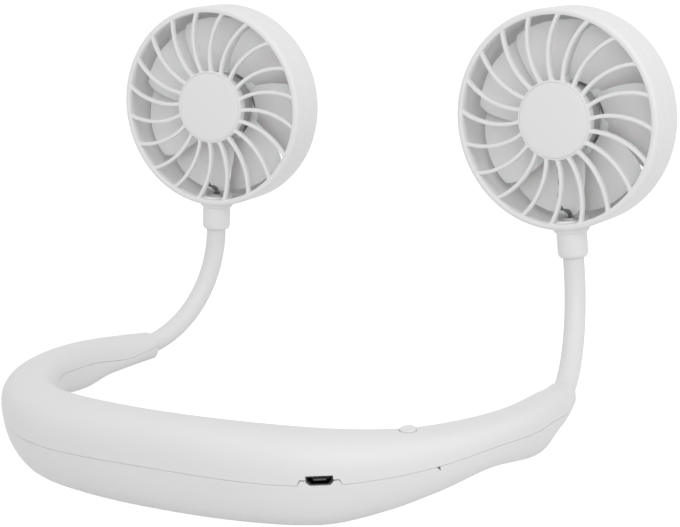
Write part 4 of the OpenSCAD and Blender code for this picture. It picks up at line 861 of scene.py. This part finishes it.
# Motor: a flat brushed motor in a deep-drawn, zinc plated can with rounded shoulders, seated in the
# hub plate's cup with its shaft towards the back; magnets, core and brushes are fitted inside.
zinc_can = moulded("can_steel", (0.5, 0.5, 0.51), 0.36, cloud=0.15, grain=1500.0, rub=0.6, bright=1.4,
                   Metallic=0.8)
can_front, can_back, neck_r = -2.5, -11.9, 3.1
can_line = [(11.7, can_front), (can_r, can_front)]
can_line += [(can_r - 1 + cosd(a), can_back + 1 - sind(a)) for a in range(0, 91, 15)]
can_line += [(neck_r + 0.2, can_back), (neck_r, can_back - 0.2), (neck_r, can_back - 0.8),
             (neck_r - 0.1, can_back - 0.9), (2.2, can_back - 0.9), (2.2, can_back + 0.5),
             (11.2, can_back + 0.5), (11.7, can_back + 1)]
motor_can = solid("motor_case", [turned_solid(can_line, 96)], zinc_can)
machined(motor_can, taken=[wire_slot(-13.2, -7.6, -4.7, -2.4)])
on_both_heads(motor_can, "head", "can_steel", "motor_can")

ferrite = moulded("magnet_ferrite", (0.03, 0.03, 0.033), 0.65, cloud=0.5, grain=2600.0, depth=0.00008,
                  rub=0.5, bright=2.0)
# the end cap's mid grey is painted shade: the cap is coloured like the white impeller hub in shadow that is
# seen there
end_cap_shade_grey = moulded("end_cap_painted_shade", (0.6, 0.6, 0.59), 0.5, cloud=0.1, rub=0.2, bright=1.1)
for side, head in heads.items():
    axis = pointing(head)
    ground = metal("shaft_steel_" + side, (0.6, 0.6, 0.62), 0.15, axis=axis, along=2600.0, across=50.0)
    bronze = metal("brush_bronze_" + side, (0.55, 0.3, 0.12), 0.32, axis=axis, along=70.0)
    laminated = metal("core_steel_" + side, (0.2, 0.21, 0.23), 0.42, axis=axis, along=1900.0, across=30.0,
                      contrast=0.7, depth=0.00005)
    copper = metal("commutator_copper_" + side, (0.6, 0.27, 0.13), 0.25, axis=axis, along=2400.0,
                   across=60.0)
    for node, finish in (("motor_screws", screw_plate), ("field_magnets", ferrite),
                         ("motor_end_cap", end_cap_shade_grey), ("brushes", bronze), ("bushes", bronze),
                         ("shaft", ground), ("armature_core", laminated), ("commutator", copper)):
        refinish(finish, f"{node}_{side}")

# Windings: enamelled copper wire, wound by machine in three layers round each of the three poles of
# the armature, every layer in the furrows of the one under it.
enamel = metal("winding_copper", (0.42, 0.13, 0.035), 0.25, along=300.0, across=300.0, contrast=0.3,
               Coat_Weight=0.8)
core_mid, core_l, tooth_w, wire_r, turn_from, turn_pitch, turn_lean = -8.6, 3.4, 2.6, 0.2, 3.35, 0.4, 0.05
layer_w, layer_h, squared = 0.36, 0.27, 0.3
turns = []
for pole in range(3):
    for layer in range(3):
        half_w, half_h = tooth_w / 2 + wire_r + layer * layer_w, core_l / 2 + wire_r + layer * layer_h
        for k in range(8):
            x = turn_from + turn_pitch * (k + layer % 2 / 2)
            rings = []
            for a in around(20):
                over = Vector((0, copysign(half_w * abs(cos(a)) ** squared, cos(a)),
                               copysign(half_h * abs(sin(a)) ** squared, sin(a))))
                p, out = over + Vector((x + turn_lean * sin(a), 0, core_mid)), over.normalized()
                rings.append([turn(120 * pole, "Z") @ (p + wire_r * Vector((
                    sin(b), *(out.yz * cos(b))))) for b in around(6)])
            turns.append(skin(rings, loop=True))
windings = solid("windings", turns, enamel, 60)
on_both_heads(windings, "rotor", "winding_copper", "armature_coils")

# Impeller: one white moulding pressed on the shaft, a flat hub behind the motor with seven broad
# twisted blades whose edges sweep in an S.
# the impeller's white is set lighter than the covers' as painted light, standing in for light that reaches
# into the drum
blade_white_painted_light = moulded("impeller_plastic", (0.86, 0.86, 0.86), 0.4, cloud=0.02, depth=0.00001,
                      Subsurface_Weight=0.1, Subsurface_Scale=0.002)
blade_count, hub_front, hub_t, boss_back, blade_root, blade_tip, blade_rake = 7, -13.3, 2, -16.3, 12.8, 33, 2
root_chord, more_chord, tip_share, tip_cut = 15, 18.5, 0.2, 0.15
root_pitch, less_pitch, blade_sweep, blade_bow, blade_t, blade_rings = 20, 7, 10, 0.24, 0.65, 28


def blade_ring(q, points=13):
    """The section of a blade at a share q of its span."""
    r = blade_root + (blade_tip - blade_root) * q
    past = max(0, q - 1 + tip_share) / tip_share
    chord = (root_chord + more_chord * q ** 0.8) * sqrt(1 - tip_cut * past ** 2)
    pitch = root_pitch - less_pitch * q ** 0.7
    ring = []
    for j in range(2 * points):
        side, i = (1, j) if j < points else (-1, 2 * points - 1 - j)
        x = sin(pi * (i / (points - 1) - 0.5)) / 2
        thick = blade_t * (0.12 + 0.88 * sqrt(max(0, 1 - 4 * x * x)) ** 0.7) * (1 - 1.4 * x * x)
        z = blade_bow * chord * (0.25 - x * x) - side * thick
        y = x * chord * cosd(pitch) - z * sind(pitch)
        a = y / r - radians(blade_sweep * q)
        ring.append(Vector((r * cos(a), r * sin(a), x * chord * sind(pitch) + z * cosd(pitch)
                            + blade_rake * q + hub_front - hub_t / 2)))
    return ring


edge_r, stem_r, bore_r, hub_back_z = 14, 2.5, 1, hub_front - hub_t
wheel = [turned_solid(
    [(bore_r, hub_front), (edge_r - 0.4, hub_front), (edge_r, hub_front - 0.4), (edge_r, hub_back_z + 0.3),
     (edge_r - 0.3, hub_back_z), (stem_r + 0.2, hub_back_z), (stem_r, hub_back_z - 0.2),
     (stem_r, boss_back + 0.2), (stem_r - 0.2, boss_back), (bore_r, boss_back)], 96)]
for k in range(blade_count):
    points, faces = skin([blade_ring(q / blade_rings) for q in range(blade_rings + 1)])
    wheel.append(([turn(360 * k / blade_count, "Z") @ p for p in points], faces))
impeller = solid("fan_wheel", wheel, blade_white_painted_light, 50)
on_both_heads(impeller, "rotor", "impeller_plastic", "impeller")

# Motor leads: two thin dark wires laid round each other, from the board along the band beside the
# screw bosses, up through the hose, and behind the lowest ribs into the motor.
wire_dark = moulded("lead_jacket", (0.18, 0.18, 0.182), 0.5, cloud=0.1, rub=0.0)
lead_insets = [(0, 5), (0.35, 4.6), (0.57, 3.8), (0.72, 3.8), (0.86, 0), (1.01, 0)]
lead_heights = [(0, 17.8), (0.3, 17.8), (0.35, board_z + 2.3), (0.57, board_z + 2.3), (0.935, hose_z),
                (1.01, hose_z)]
strand_r, strand_off, lead_from, lead_past_hose = 0.38, 0.4, -0.5, 14.54


def lead(name, route, lay=14, sides=8):
    """A length of motor lead, its two wires laid round each other."""
    return solid(name, cores(route, strand_r, strand_off, lay, 2, sides), wire_dark)


for side, arm in arms.items():
    tip_s = half_l * lead_heights[4][0]
    from_s, to_s = (button_s + 8.3, tip_s) if side == "right" else (plug_s, -tip_s)
    n = ceil(abs(to_s - from_s) / 8)
    path = [on_band(from_s, -3.5, lead_heights[2][1])]
    for s in (from_s + (to_s - from_s) * k / n for k in range(1, n + 1)):
        t = abs(s) / half_l
        path.append(on_band(s, -through(lead_insets, t), through(lead_heights, t)))
    path += [arm @ along_hose(s) for s in (-10, -5, lead_from)]
    fitted(lead("lead_band_" + side, smooth_route(path, 2)), "neckband", "lead_jacket", "motor_lead_" + side)
    lead_cuts = [lead_from] + hose_cuts[1:4] + [hose_l + lead_past_hose]
    for i in range(4):
        a, b = lead_cuts[i], lead_cuts[i + 1]
        route = [arm @ along_hose(a + (b - a) * k / 16) for k in range(17)]
        bent(lead(f"lead_hose_{i + 1}_{side}", route), "motor_lead", side, i)
head_path = smooth_route([Vector(p) for p in ((0, -35, -7.6), (0, -32.1, -6.8), (-1.6, -29.6, -3.4),
                                              (-0.8, -22.5, -3.4), (-0.8, -14.8, -3.4),
                                              (0, -12.2, -3.3), (0, -7.7, -3.3))], 0.8)
on_both_heads(lead("lead_head", head_path, 9, 10), "head", "lead_jacket", "motor_lead")
